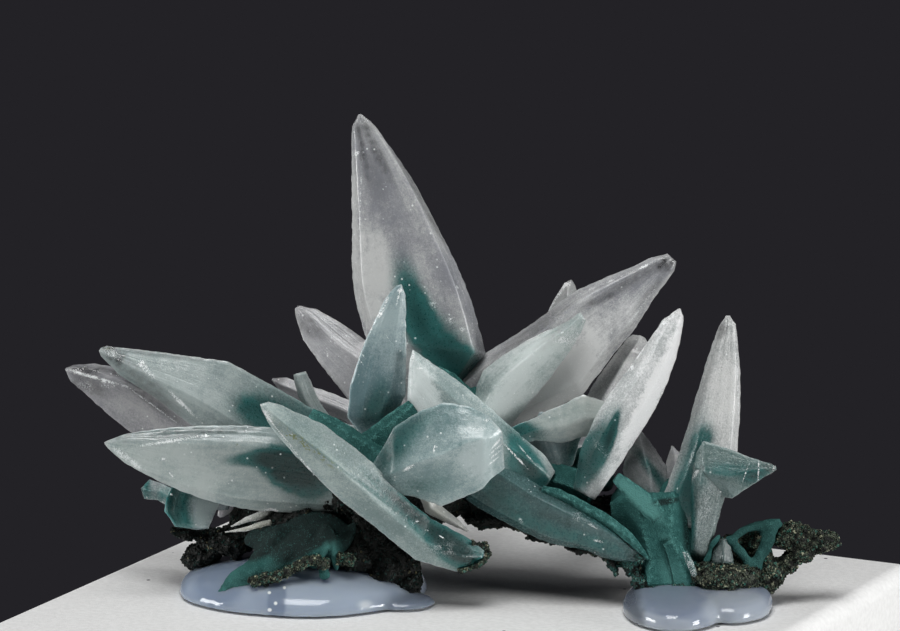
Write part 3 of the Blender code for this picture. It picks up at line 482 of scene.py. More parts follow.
LEFT_GLUE = Look(
    (0.36, 0.42, 0.50), (0.21, 0.26, 0.34), 0.0, 0.1,
    # The negative milk patches are painted shade where the crust shades the glue
    (Patch(-19.0, -47.0, 6.5, 3.0, 0, 0.6, 0.5), Patch(-28.7, -47.0, 1.3, 3.5, 0, 0.5, -0.7),
     Patch(-38.0, -44.0, 4.0, 3.0, 40, 0.7, -0.5)),
    (Patch(-5.5, -48.2, 6.5, 1.7, -3, 0.6, 0.35),), (),
    (Patch(-30.0, -46.0, 0.3, 0.25, 0, 0.5, 0.8), Patch(-29.9, -48.8, 0.35, 0.3, 0, 0.5, 0.9),
     Patch(-28.9, -47.7, 0.3, 0.3, 0, 0.5, 0.8), Patch(-27.5, -45.2, 0.25, 0.25, 0, 0.5, 0.7),
     Patch(-14.0, -48.0, 1.2, 0.7, 0, 0.8, 0.5)))
RIGHT_GLUE = Look(
    (0.35, 0.39, 0.44), (0.22, 0.26, 0.33), 0.0, 0.12,
    # The first milk patch is painted shade on the lobe under the green prism
    (Patch(36.3, -46.8, 4.6, 2.4, 0, 0.7, -0.6), Patch(35.0, -51.0, 6.0, 1.4, -10, 0.6, 0.7),
     Patch(47.5, -48.5, 5.0, 2.4, 0, 0.5, 0.5)),
    (Patch(30.2, -48.0, 1.5, 4.0, 12, 0.6, 0.6),))

LOOKS = {
    "spire": Look(
        WARM, LILAC_DIM, 0.4, 0.2,
        # The second milk patch is painted light on the narrow left facet, which faces the side light
        (Patch(-12.5, 8.5, 9.0, 3.0, 85, 0.7, 0.7), Patch(-16.2, 14.0, 13.0, 0.7, 90, 0.6, 0.6),
         Patch(-11.0, 18.5, 9.5, 2.4, 108, 0.7, -0.8), Patch(2.0, 3.0, 10.0, 1.8, 115, 0.8, -0.4)),
        (Patch(-14.8, 32.0, 2.6, 1.8, 0, 0.6, 0.35), Patch(-14.6, 27.5, 3.4, 0.5, 100, 0.9, 0.45),
         Patch(-11.8, 26.7, 4.6, 0.7, 115, 0.9, 0.45), Patch(-12.8, 24.0, 5.0, 1.6, 105, 0.9, 0.25),
         Patch(-5.5, 20.5, 11.0, 0.45, 119, 0.5, 0.5)),
        (Patch(-6.3, 2.5, 6.6, 2.3, 107, 0.5, 1.0), Patch(-2.3, -4.0, 7.0, 3.6, 128, 0.5, 1.0),
         Patch(2.0, -8.0, 4.5, 2.4, 150, 0.5, 0.9)),
        (Patch(-2.8, 1.8, 0.7, 0.7, 0, 1.2, 0.5), Patch(0.0, -0.8, 0.8, 0.6, 0, 1.2, 0.5),
         Patch(2.0, -2.3, 0.4, 0.4, 0, 0.8, 0.8), Patch(1.1, 4.7, 0.3, 0.3, 0, 0.8, 0.9),
         Patch(-15.6, 27.0, 0.6, 0.35, 40, 0.6, 0.8), Patch(-15.0, 17.0, 9.0, 0.12, 88, 0.8, 0.6))),
    "plume": Look(
        (0.68, 0.68, 0.69), (0.42, 0.43, 0.45), 0.4, 0.2, (),
        (Patch(-23.6, -1.6, 3.2, 1.5, -40, 0.5, 0.45),), (),
        (Patch(-20.5, -6.0, 1.2, 0.12, 95, 0.6, 0.7), Patch(-19.8, -3.8, 0.8, 0.1, 80, 0.6, 0.6))),
    "shield": Look(
        BLUISH, BLUISH_DIM, 0.5, 0.25,
        (Patch(-10.0, -1.0, 6.0, 3.0, 80, 0.8, 0.5), Patch(-12.5, -13.0, 6.0, 4.5, 90, 0.8, -0.7),
         Patch(-7.5, -9.0, 5.0, 0.4, 88, 0.6, 0.5)),
        (),
        (Patch(-12.6, -15.0, 4.0, 1.8, 62, 0.6, 0.9), Patch(-9.0, -17.0, 3.0, 2.0, 60, 0.6, 0.9)),
        (Patch(-8.3, 4.2, 0.5, 0.35, 20, 0.5, 1.0), Patch(-10.7, 2.0, 1.3, 0.2, 70, 0.7, 0.9),
         Patch(-11.7, 0.1, 0.5, 0.3, 60, 0.6, 1.0), Patch(-13.2, -2.2, 0.25, 0.25, 0, 0.5, 1.0),
         Patch(-8.6, 3.0, 1.5, 0.15, 75, 0.6, 0.8), Patch(-14.9, -7.6, 0.9, 0.08, -55, 0.5, 0.9),
         Patch(-14.3, -6.9, 0.6, 0.08, -55, 0.5, 0.8), Patch(-10.3, -3.8, 1.3, 0.07, -50, 0.5, 0.5))),
    "left_upper": Look(
        (0.52, 0.585, 0.575), (0.28, 0.35, 0.35), 0.4, 0.2,
        (Patch(-43.5, -11.0, 7.5, 3.6, -28, 0.7, 0.5), Patch(-36.0, -15.5, 4.0, 2.0, -10, 0.8, 0.3)),
        (Patch(-50.5, -12.0, 8.0, 1.6, -42, 0.5, 0.45), Patch(-48.0, -6.2, 10.0, 0.8, -6, 0.5, 0.35),
         Patch(-56.0, -6.5, 2.0, 1.5, -20, 0.5, 0.4)),
        (Patch(-32.0, -16.2, 4.4, 2.3, -20, 0.5, 0.8), Patch(-25.0, -17.5, 9.0, 5.0, -24, 0.6, 0.75)),
        (Patch(-44.6, -14.8, 2.8, 0.28, -45, 0.8, 1.0), Patch(-50.6, -9.1, 1.9, 0.4, -50, 0.8, 0.8),
         Patch(-51.6, -7.8, 0.6, 0.5, 0, 0.7, 0.7), Patch(-47.0, -8.5, 4.0, 1.0, -4, 0.9, 0.35),
         Patch(-56.5, -6.3, 1.3, 0.7, -20, 0.8, 0.6)),
        (Patch(-57.0, -5.4, 0.8, 0.35, -20, 0.6, 1.0),)),
    "left_back": Look(
        LILAC, LILAC_DIM, 0.6, 0.3, (Patch(-54.0, -15.0, 6.0, 2.0, -32, 0.8, 0.3),),
        (Patch(-60.3, -11.0, 3.6, 1.7, -30, 0.6, 0.5), Patch(-50.0, -14.0, 6.0, 0.8, -37, 0.5, 0.5),
         Patch(-58.5, -9.2, 4.5, 0.6, -8, 0.6, 0.5)), (),
        (Patch(-59.0, -10.4, 5.4, 0.28, -16, 0.8, 1.0), Patch(-48.8, -15.5, 4.6, 0.15, -36, 0.8, 0.8),
         Patch(-60.8, -11.6, 1.6, 0.9, -30, 0.9, 0.45), Patch(-57.3, -11.6, 1.1, 0.5, -10, 0.8, 0.6))),
    "left_lower": Look(
        GREENISH, GREENISH_DIM, 0.4, 0.2,
        (Patch(-46.0, -24.5, 7.5, 3.4, -12, 0.8, 0.4), Patch(-40.6, -29.0, 1.6, 2.6, 0, 0.8, 0.5),
         Patch(-38.0, -19.6, 14.0, 1.3, 2, 0.6, -0.7)),
        (Patch(-48.0, -19.9, 9.0, 0.9, 4, 0.5, 0.45), Patch(-36.0, -19.0, 5.0, 0.6, 2, 0.6, 0.3)),
        (Patch(-32.2, -23.9, 4.8, 1.1, 3, 0.35, 1.0), Patch(-28.0, -25.0, 3.6, 2.6, -35, 0.4, 1.0),
         Patch(-23.5, -27.0, 4.4, 4.4, 0, 0.35, 1.0), Patch(-26.0, -20.5, 3.0, 1.5, 0, 0.7, 0.7),
         Patch(-26.2, -25.6, 5.6, 2.4, -20, 0.5, 1.4)),
        # The first frost patch is a painted highlight line along the top ridge
        (Patch(-47.0, -21.0, 5.0, 0.25, 9, 0.9, 0.9), Patch(-40.8, -20.0, 0.7, 0.3, 0, 0.7, 0.9),
         Patch(-47.8, -24.0, 0.5, 0.35, 0, 0.6, 0.8), Patch(-46.6, -26.4, 0.9, 0.12, -48, 0.5, 0.9),
         Patch(-54.0, -23.6, 3.6, 0.5, -38, 0.8, 0.6), Patch(-29.8, -32.6, 1.2, 0.5, -5, 0.4, 1.0)),
        (Patch(-35.5, -21.3, 0.4, 0.25, 60, 0.6, 0.6),)),
    "pale_long": Look(LILAC, LILAC_DIM, 0.3, 0.2, (Patch(-20.0, -15.0, 6.0, 2.5, -20, 0.8, 0.5),),
                      (Patch(-28.0, -11.6, 2.2, 0.9, -25, 0.6, 0.5),)),
    "pale_short": Look(GREENISH, GREENISH_DIM, 0.4, 0.35),
    "front_blade": Look(
        (0.44, 0.52, 0.505), (0.18, 0.26, 0.255), 0.6, 0.12,
        (Patch(-20.5, -23.7, 10.5, 0.2, -38, 0.6, -0.7), Patch(-30.0, -16.2, 2.2, 1.2, -30, 0.8, 0.7),
         Patch(-24.5, -23.3, 7.0, 0.9, -42, 0.8, 0.35), Patch(-10.0, -35.5, 6.0, 2.0, -40, 0.8, -0.4)),
        (Patch(-17.0, -22.5, 7.0, 1.5, -38, 0.7, 0.15),),
        (Patch(-13.0, -29.3, 3.4, 0.35, -40, 0.6, 0.9), Patch(-10.4, -29.6, 5.2, 0.9, -43, 0.5, 0.95),
         Patch(-3.4, -34.8, 8.5, 2.1, -39, 0.5, 1.0), Patch(1.8, -39.6, 4.6, 2.6, -25, 0.4, 1.0),
         Patch(-0.6, -37.9, 7.0, 1.6, -38, 0.6, 0.9), Patch(-7.0, -32.0, 4.0, 0.8, -42, 0.7, 0.6)),
        (Patch(-22.5, -16.8, 6.5, 0.13, -27, 0.8, 0.9), Patch(-15.2, -22.2, 4.6, 0.13, -40, 0.8, 0.9),
         Patch(-26.5, -21.8, 7.5, 0.16, -51, 0.8, 0.9), Patch(-30.6, -16.6, 1.2, 0.8, -50, 0.8, 0.7),
         Patch(-5.5, -34.3, 0.3, 0.15, 0, 0.6, 0.8), Patch(-3.9, -35.8, 0.3, 0.12, -10, 0.6, 0.8),
         Patch(-1.5, -39.0, 2.4, 1.2, 0, 1.0, 0.4), Patch(-1.4, -36.9, 0.5, 0.12, -30, 0.6, 0.8)),
        (Patch(-24.0, -21.6, 5.8, 0.65, -37, 0.8, 0.8), Patch(-27.5, -19.3, 1.4, 0.3, -50, 0.6, 0.9))),
    "front_block": Look(
        (0.50, 0.585, 0.585), (0.17, 0.27, 0.275), 0.4, 0.08,
        (Patch(5.0, -24.0, 3.4, 3.0, 30, 0.8, 0.7), Patch(6.4, -19.0, 2.6, 2.0, -20, 0.8, 0.6),
         Patch(-2.5, -18.5, 7.0, 2.4, 35, 0.8, -0.45), Patch(-3.0, -27.5, 5.0, 2.4, 0, 0.8, -0.5)), (),
        (Patch(-9.3, -22.0, 5.4, 2.4, 58, 0.7, 0.9), Patch(-5.4, -28.6, 5.0, 1.9, 5, 0.9, 0.6),
         Patch(-4.0, -17.0, 3.5, 1.3, 32, 0.8, 0.4)),
        (Patch(-6.6, -25.3, 1.2, 0.28, 28, 0.7, 1.0), Patch(-2.6, -22.2, 0.6, 0.2, 80, 0.6, 0.9),
         Patch(6.2, -17.5, 0.8, 0.35, 0, 0.7, 0.9), Patch(5.3, -18.9, 1.6, 0.5, 0, 0.9, 0.6),
         Patch(8.0, -21.0, 1.6, 0.16, 48, 0.6, 1.0), Patch(7.7, -22.2, 1.5, 0.14, 42, 0.6, 1.0),
         Patch(7.5, -23.2, 1.3, 0.14, 40, 0.6, 1.0), Patch(7.3, -24.2, 1.1, 0.12, 38, 0.6, 0.9)),
        (Patch(0.3, -21.1, 0.2, 0.15, 0, 0.4, 1.0),)),
    "wedge": Look(
        (0.74, 0.80, 0.79), (0.27, 0.35, 0.345), 0.45, 0.1,
        (Patch(-4.6, -12.5, 5.2, 2.4, 112, 0.5, 0.9), Patch(9.5, -26.0, 2.2, 1.2, -50, 0.8, -0.5),
         Patch(2.6, -14.0, 8.0, 2.2, -48, 0.7, -0.45)), (),
        (Patch(12.6, -22.8, 6.2, 1.5, -52, 0.5, 1.0), Patch(8.0, -28.5, 5.0, 1.3, -35, 0.6, 0.9),
         Patch(13.5, -27.0, 3.0, 1.6, -50, 0.7, 0.8), Patch(11.6, -25.6, 4.6, 2.0, -48, 0.6, 0.8)),
        (Patch(10.8, -23.3, 2.7, 0.15, -46, 0.7, 1.0), Patch(12.8, -23.2, 2.0, 0.12, -50, 0.7, 0.7),
         Patch(-6.2, -7.0, 1.4, 0.25, 80, 0.7, 0.8), Patch(-5.0, -8.8, 0.5, 0.3, 0, 0.7, 0.8))),
    "keel": Look(
        (0.09, 0.165, 0.165), (0.025, 0.065, 0.065), 1.0, 0.1,
        (Patch(10.0, -29.0, 4.0, 2.0, -20, 0.8, 0.3), Patch(21.0, -34.5, 5.0, 1.0, -28, 0.8, 0.4)),
        (Patch(31.0, -39.3, 2.6, 1.4, -30, 0.6, 0.4),),
        (Patch(8.0, -30.5, 7.0, 2.4, -35, 0.8, 0.75), Patch(23.5, -32.8, 9.0, 0.9, -33, 0.35, 1.2),
         Patch(22.0, -37.4, 9.0, 1.3, -18, 0.6, 0.8)),
        # The first frost patch is a painted glint
        (Patch(24.8, -37.6, 0.8, 0.18, -10, 0.6, 1.0), Patch(21.2, -33.6, 1.0, 0.9, 0, 0.9, 0.4),
         Patch(11.8, -34.2, 0.5, 0.25, -60, 0.6, 0.7), Patch(23.6, -35.0, 1.2, 0.2, -30, 0.8, 0.6))),
    "middle": Look(
        (0.68, 0.74, 0.725), (0.36, 0.45, 0.44), 0.5, 0.1,
        (Patch(12.0, -9.3, 7.5, 2.6, 48, 0.8, 0.9), Patch(6.0, -10.5, 4.0, 2.0, 45, 0.9, -0.2)),
        (Patch(18.5, -2.4, 4.0, 0.9, 40, 0.7, 0.35),),
        (Patch(5.0, -12.3, 3.2, 1.6, 40, 0.9, 0.4),),
        # The first two frost patches are a painted glint line along the top ridge
        (Patch(16.3, -2.4, 4.6, 0.22, 26, 0.5, 1.2), Patch(9.0, -6.3, 5.0, 0.12, 31, 0.7, 0.8),
         Patch(20.3, -3.6, 1.8, 1.2, 40, 0.9, 0.6), Patch(22.2, -0.9, 0.9, 0.15, 70, 0.6, 0.9),
         Patch(18.5, -4.2, 1.4, 0.5, 0, 0.9, 0.6))),
    "right_great": Look(
        (0.86, 0.87, 0.86), LILAC_DIM, 0.35, 0.15,
        # The second milk patch, strong, with the raised pale colour above, paints light onto the lower part
        # beside the crystal middle, which lies in shade
        (Patch(24.0, -5.0, 9.0, 4.0, 52, 0.9, 0.15), Patch(18.0, -11.5, 7.5, 3.8, 48, 0.9, 1.4),
         Patch(28.5, 4.0, 9.0, 1.9, 32, 0.8, -0.45)),
        (Patch(31.0, 6.4, 6.4, 0.9, 29, 0.9, 0.5), Patch(33.8, 4.3, 3.8, 0.6, 50, 0.9, 0.5),
         Patch(36.0, 8.4, 1.8, 1.3, 20, 0.5, 0.5), Patch(13.5, -2.8, 9.0, 1.1, 36, 0.6, 0.45),
         Patch(25.0, 2.6, 3.0, 0.6, 20, 0.8, 0.4)), (),
        (Patch(32.3, 8.2, 0.7, 0.35, 20, 0.6, 0.9), Patch(27.0, 5.9, 9.0, 0.12, 23, 0.8, 0.7),
         Patch(31.5, 0.8, 4.0, 0.35, 55, 0.9, 0.5), Patch(17.5, -0.3, 2.4, 0.5, -15, 0.9, 0.4))),
    "right_peep": Look(WARM, WARM_DIM, 0.5, 0.45, (), (), (),
                       (Patch(17.6, 3.0, 2.6, 0.4, 56, 0.7, 1.0), Patch(19.6, 5.2, 0.8, 0.4, 40, 0.7, 0.8))),
    "right_shade": Look(WARM, WARM_DIM, 0.9, 0.12, (), (Patch(30.2, -5.8, 2.6, 1.4, 0, 0.7, 0.4),)),
    "right_blade": Look(
        (0.86, 0.87, 0.87), (0.46, 0.49, 0.49), 1.0, 0.1,
        # The first milk patch is painted light along the right facet, which faces the light from the right
        (Patch(33.4, -13.8, 16.0, 1.5, 65, 0.4, 0.9), Patch(28.0, -13.0, 9.0, 1.2, 58, 0.8, -0.25)),
        (Patch(31.0, -7.5, 5.0, 0.8, 52, 0.6, 0.3),),
        (Patch(26.9, -19.8, 3.6, 0.7, 74, 0.4, 1.0), Patch(24.6, -21.4, 5.6, 2.0, 62, 0.7, 0.95),
         Patch(22.8, -25.3, 4.6, 2.1, 66, 0.8, 0.9)),
        (Patch(36.3, -0.6, 2.2, 0.35, 42, 0.7, 1.1), Patch(31.8, -5.8, 1.4, 0.3, 60, 0.7, 1.0),
         Patch(30.0, -8.8, 0.7, 0.5, 50, 0.7, 1.0), Patch(25.5, -22.5, 1.8, 0.7, -50, 0.9, 0.4))),
    "under_upper": Look(
        (0.60, 0.65, 0.62), GREENISH_DIM, 0.2, 0.15, (Patch(22.0, -16.5, 5.0, 2.0, 10, 0.8, 0.3),), (),
        (Patch(13.0, -19.5, 3.0, 1.5, -15, 0.6, 1.0), Patch(9.0, -19.0, 3.0, 3.0, 0, 0.6, 1.0))),
    "under_lower": Look((0.46, 0.52, 0.51), BLUISH_DIM, 0.3, 0.15, (), (),
                        (Patch(20.5, -23.0, 3.0, 1.6, 60, 0.8, 0.8),)),
    "saddle": Look((0.52, 0.52, 0.52), (0.22, 0.24, 0.25), 0.4, 0.15, (), (),
                   (Patch(33.8, -26.0, 5.0, 0.9, -52, 0.6, 0.9), Patch(32.0, -31.0, 4.0, 2.0, 0, 0.8, 0.8))),
    "saddle_tip": Look((0.55, 0.55, 0.54), LILAC_DIM, 0.4, 0.15, (), (),
                       (Patch(38.0, -30.0, 4.0, 2.5, 0, 0.8, 0.8),)),
    "right_tall": Look(
        WARM, WARM_DIM, 1.0, 0.08,
        (Patch(45.8, -14.0, 9.0, 2.4, 88, 0.8, 0.5), Patch(41.5, -16.0, 9.0, 1.0, 74, 0.7, -0.35)),
        (Patch(45.4, -2.4, 1.7, 0.8, 62, 0.6, 0.6),),
        (Patch(39.8, -24.5, 6.5, 1.8, 74, 0.8, 0.85), Patch(42.4, -21.0, 2.2, 1.4, 60, 0.7, 0.9),
         Patch(40.0, -31.0, 4.0, 3.0, 60, 0.6, 0.9)),
        (Patch(47.9, -10.0, 8.0, 0.15, 92, 0.9, 0.7), Patch(40.3, -23.5, 3.0, 0.25, 72, 0.9, 0.6),
         Patch(46.5, -1.5, 0.8, 0.5, 0, 0.9, 0.6))),
    "right_spur": Look(
        (0.28, 0.37, 0.36), (0.10, 0.17, 0.16), 0.9, 0.2, (Patch(45.0, -28.8, 3.0, 1.2, -10, 0.8, 0.5),),
        (Patch(53.2, -25.4, 1.4, 0.7, -20, 0.6, 0.5),),
        (Patch(47.6, -25.8, 5.6, 1.3, -3, 0.5, 0.9), Patch(50.5, -27.0, 1.8, 0.9, 25, 0.6, 0.9)),
        # The frost patches at the tip are painted glints
        (Patch(51.4, -26.0, 1.8, 0.14, 88, 0.6, 1.0), Patch(49.3, -26.2, 1.8, 0.13, 70, 0.6, 0.8),
         Patch(54.0, -25.5, 0.5, 0.2, 60, 0.6, 1.0), Patch(50.6, -28.6, 0.9, 0.12, 35, 0.6, 0.9),
         Patch(41.4, -27.0, 1.4, 0.22, 120, 0.7, 1.0))),
    "right_prism": Look(
        (0.24, 0.29, 0.285), (0.09, 0.13, 0.125), 1.1, 0.05,
        (Patch(42.8, -33.0, 6.0, 1.5, 80, 0.9, 0.4),), (),
        (Patch(39.9, -33.0, 7.5, 0.9, 92, 0.4, 1.0), Patch(42.0, -27.5, 2.5, 1.3, 60, 0.8, 0.5)),
        # The first frost patch is a painted glint on the top
        (Patch(41.0, -26.2, 1.3, 0.3, 60, 0.7, 0.9), Patch(42.5, -33.0, 4.5, 1.2, 80, 0.9, 0.3))),
    "low_left_small": Look(
        (0.34, 0.40, 0.40), (0.14, 0.19, 0.20), 0.6, 0.3, (), (),
        (Patch(-50.6, -28.8, 2.0, 0.8, 90, 0.6, 0.9), Patch(-46.5, -29.0, 3.0, 1.2, 30, 0.6, 0.9))),
    "low_left": Look(
        (0.38, 0.45, 0.45), (0.10, 0.15, 0.155), 0.5, 0.1, (Patch(-41.2, -32.4, 2.6, 2.2, 80, 0.8, 0.9),), (),
        (Patch(-46.8, -31.0, 6.0, 2.3, -70, 0.6, 1.9), Patch(-44.0, -28.0, 5.0, 2.0, 0, 0.6, 0.9)),
        (Patch(-46.4, -29.8, 0.25, 0.2, 0, 0.6, 0.9),)),
    "sliver_left": Look((0.36, 0.37, 0.34), (0.12, 0.14, 0.13), 0.9, 0.1),
    "sliver_low": Look((0.46, 0.46, 0.38), (0.16, 0.17, 0.14), 0.9, 0.1),
    "sliver_right": Look((0.58, 0.59, 0.52), WARM_DIM, 0.5, 0.1),
    "teal_chips": Look((0.12, 0.24, 0.23), (0.03, 0.10, 0.09), 1.0, 0.2, (), (), (),
                       (Patch(40.0, -42.2, 3.2, 0.7, -62, 0.9, 0.7),)),
    "small_grey": Look((0.10, 0.14, 0.135), (0.04, 0.065, 0.065), 0.9, 0.15),
    "lilac_chip": Look((0.62, 0.56, 0.60), LILAC_DIM, 0.6, 0.1),
    "rear_left": Look(LILAC, LILAC_DIM, 0.4, 0.25, (), (), (Patch(-14.0, -22.0, 6.0, 5.0, 0, 0.7, 0.9),)),
    "rear_middle": Look(GREENISH, GREENISH_DIM, 0.4, 0.2, (), (),
                        (Patch(-2.0, -20.0, 7.0, 5.0, 0, 0.7, 0.9),)),
    "rear_right": Look(WARM, LILAC_DIM, 0.4, 0.25, (), (), (Patch(12.0, -22.0, 8.0, 5.0, 0, 0.7, 0.9),)),
}


class Number:
    """A shader value that takes part in sums and products like a plain number."""

    def __init__(self, recipe, socket):
        self.recipe = recipe
        self.socket = socket

    def maths(self, operation, first, second):
        return self.recipe.node("ShaderNodeMath", {"operation": operation}, {0: first, 1: second})

    def __add__(self, other):
        return self.maths("ADD", self, other)

    def __sub__(self, other):
        return self.maths("SUBTRACT", self, other)

    def __rsub__(self, other):
        return self.maths("SUBTRACT", other, self)

    def __mul__(self, other):
        return self.maths("MULTIPLY", self, other)

    __radd__ = __add__
    __rmul__ = __mul__


class Recipe:
    """A material under construction."""

    def __init__(self, name):
        self.material = bpy.data.materials.new(name)
        self.material.use_nodes = True
        self.tree = self.material.node_tree
        self.tree.nodes.clear()

    def node(self, kind, settings=None, sockets=None, output=0):
        """Add a step, with numbers or colours set and shader values led into it."""
        made = self.tree.nodes.new(kind)
        for key, value in (settings or {}).items():
            setattr(made, key, value)
        for key, value in (sockets or {}).items():
            if isinstance(value, Number):
                self.tree.links.new(value.socket, made.inputs[key])
            else:
                made.inputs[key].default_value = value
        return Number(self, made.outputs[output]) if made.outputs else None

    def place(self):
        """Where a point of the piece is, in mm."""
        metres = self.node("ShaderNodeTexCoord", output="Object")
        return self.stretch(metres, (1 / MM, 1 / MM, 1 / MM))

    def stretch(self, vector, by):
        return self.node("ShaderNodeVectorMath", {"operation": "MULTIPLY"}, {0: vector, 1: by})

    def attribute(self, name, output="Vector"):
        return self.node("ShaderNodeAttribute", {"attribute_name": name}, output=output)

    def noise(self, vector, scale, detail, distortion=0.0):
        sockets = {"Vector": vector, "Scale": scale, "Detail": detail, "Distortion": distortion}
        return self.node("ShaderNodeTexNoise", None, sockets)

    def cells(self, vector, scale):
        """How far a point is from the nearest of many scattered places."""
        return self.node("ShaderNodeTexVoronoi", None, {"Vector": vector, "Scale": scale}, "Distance")

    def rise(self, value, low, high):
        """Nought below low and one above high, smooth in between."""
        sockets = {0: value, 1: low, 2: high, 3: 0.0, 4: 1.0}
        return self.node("ShaderNodeMapRange", {"interpolation_type": "SMOOTHSTEP"}, sockets)

    def patches(self, seen, patches, wobble):
        """How far a point is inside any of the patches, with wavering rims."""
        total = 0.0
        for patch in patches:
            sockets = {"Vector": seen, "Location": (patch.across, patch.up, 0.0),
                       "Rotation": (0.0, 0.0, math.radians(patch.turn)),
                       "Scale": (patch.long, patch.wide, ENDLESS)}
            inside = self.node("ShaderNodeMapping", {"vector_type": "TEXTURE"}, sockets)
            far = self.node("ShaderNodeVectorMath", {"operation": "LENGTH"}, {0: inside}, output=1)
            total = self.rise(1 + wobble - far, -patch.soft, patch.soft) * patch.full + total
        return total

    def mix(self, share, first, second):
        settings = {"data_type": "RGBA"}
        first, second = [(*c, 1.0) if isinstance(c, tuple) else c for c in (first, second)]
        return self.node("ShaderNodeMix", settings, {0: share, 6: first, 7: second}, output=2)

    def bump(self, height, depth):
        """The surface's direction with height's relief of depth mm on it."""
        sockets = {"Height": height, "Distance": depth * MM, "Strength": 1.0}
        return self.node("ShaderNodeBump", None, sockets)

    def surface(self, **sockets):
        renamed = {key.replace("_", " "): value for key, value in sockets.items()}
        return self.node("ShaderNodeBsdfPrincipled", None, renamed)

    def blend(self, share, first, second):
        return self.node("ShaderNodeMixShader", None, {0: share, 1: first, 2: second})

    def finish(self, shader):
        self.node("ShaderNodeOutputMaterial", None, {"Surface": shader})
        return self.material


def calcite(name, look):
    """Milky to clear stone with green clouds, frosted places, fine growth lines, painted highlight lines
    along its edges and painted glints, and in some places painted light.
    """
    recipe = Recipe(name)
    place = recipe.place()
    seen = recipe.attribute("seen")
    grown = recipe.attribute("grown")
    edge = recipe.attribute("edge", "Fac")
    cloud = recipe.noise(place, 0.2, 3.0)
    fine = recipe.noise(place, 0.9, 4.0)
    sugar = recipe.noise(place, 2.6, 3.0)
    crumbs = recipe.noise(place, 5.5, 2.0)
    streaks = recipe.noise(recipe.stretch(grown, (2.6, 0.11, 1.5)), 1.0, 4.0, 0.3)
    wobble = (cloud - 0.5) * 0.6 + (fine - 0.5) * 0.5 + (sugar - 0.5) * 0.15

    milk = recipe.patches(seen, look.milk, wobble)
    clear = recipe.patches(seen, look.clear, wobble) * (0.6 + 0.4 * recipe.rise(fine, 0.3, 0.7))
    softer = [patch._replace(soft=patch.soft + GREEN_SOFTNESS) for patch in look.green]
    green = recipe.patches(seen, softer, wobble * 0.7)
    frost = recipe.patches(seen, look.frost, wobble * 1.2)
    moss = recipe.patches(seen, look.moss, wobble)
    deep = recipe.rise(green, 1.0, 2.2)
    green = recipe.rise(green, 0.0, 1.0)

    tone = 0.5 + (cloud - 0.5) * 1.0 + (fine - 0.5) * 0.6 + (streaks - 0.5) * 0.5 + milk * 0.6
    tone = tone + (sugar - 0.5) * look.grain + (crumbs - 0.5) * (look.grain + 0.35)
    stone = recipe.mix(recipe.rise(tone, 0.0, 1.0), look.dim, look.pale)
    depth = recipe.rise(cloud * 0.45 + fine * 0.2 + crumbs * 0.35, 0.3, 0.68)
    stain = recipe.mix(deep, recipe.mix(depth, TEAL_DARK, TEAL), TEAL_DEEP)
    colour = recipe.mix(green, stone, stain)
    mossy = moss * recipe.rise(fine * 0.5 + sugar * 0.5, 0.48, 0.58)
    colour = recipe.mix(recipe.rise(mossy, 0.0, 1.0), colour, MOSS)

    outer = recipe.attribute("outer", "Fac")
    # Painted highlight lines along the crystal's edges, painted glints scattered over its faces, and white
    # chips in the frost patches, which also hold painted glints; all are mixed towards white
    wisp = recipe.rise(recipe.noise(place, 0.45, 3.0), 0.38, 0.7)
    edge_highlight = (1 - recipe.rise(edge, 0.0, 0.15)) * (0.1 + 0.45 * outer) * (wisp * 0.9 + 0.1)
    speck = recipe.cells(place, 0.8)
    painted_glints = (1 - recipe.rise(speck, 0.1, 0.17)) * recipe.rise(recipe.noise(place, 0.35, 1.0), 0.5, 0.62)
    chips = frost * recipe.rise(crumbs * 0.65 + fine * 0.35 + frost * 0.08, 0.5, 0.6)
    white = recipe.rise(edge_highlight + painted_glints * 0.6 + chips, 0.0, 1.0)
    colour = recipe.mix(white, colour, FROST_AND_HIGHLIGHT)

    relief = fine * 0.35 + streaks * 0.5 + (sugar * 0.5 + crumbs * 0.45) * look.grain + white * 0.5
    normal = recipe.bump(relief, 0.14)
    rough = 0.13 + 0.22 * sugar + 0.06 * green
    milky = recipe.surface(Base_Color=colour, Roughness=rough, IOR=1.6, Normal=normal,
                           Subsurface_Weight=0.9, Subsurface_Scale=0.002, Subsurface_Radius=(1.0, 1.0, 1.0))
    glassy = recipe.surface(Base_Color=CLEAR_STONE, Roughness=0.08, IOR=1.6, Normal=normal,
                            Transmission_Weight=1.0)
    see_through = (clear + look.haze) * (1 - green * 0.85) * (1 - white)
    return recipe.finish(recipe.blend(see_through, milky, glassy))


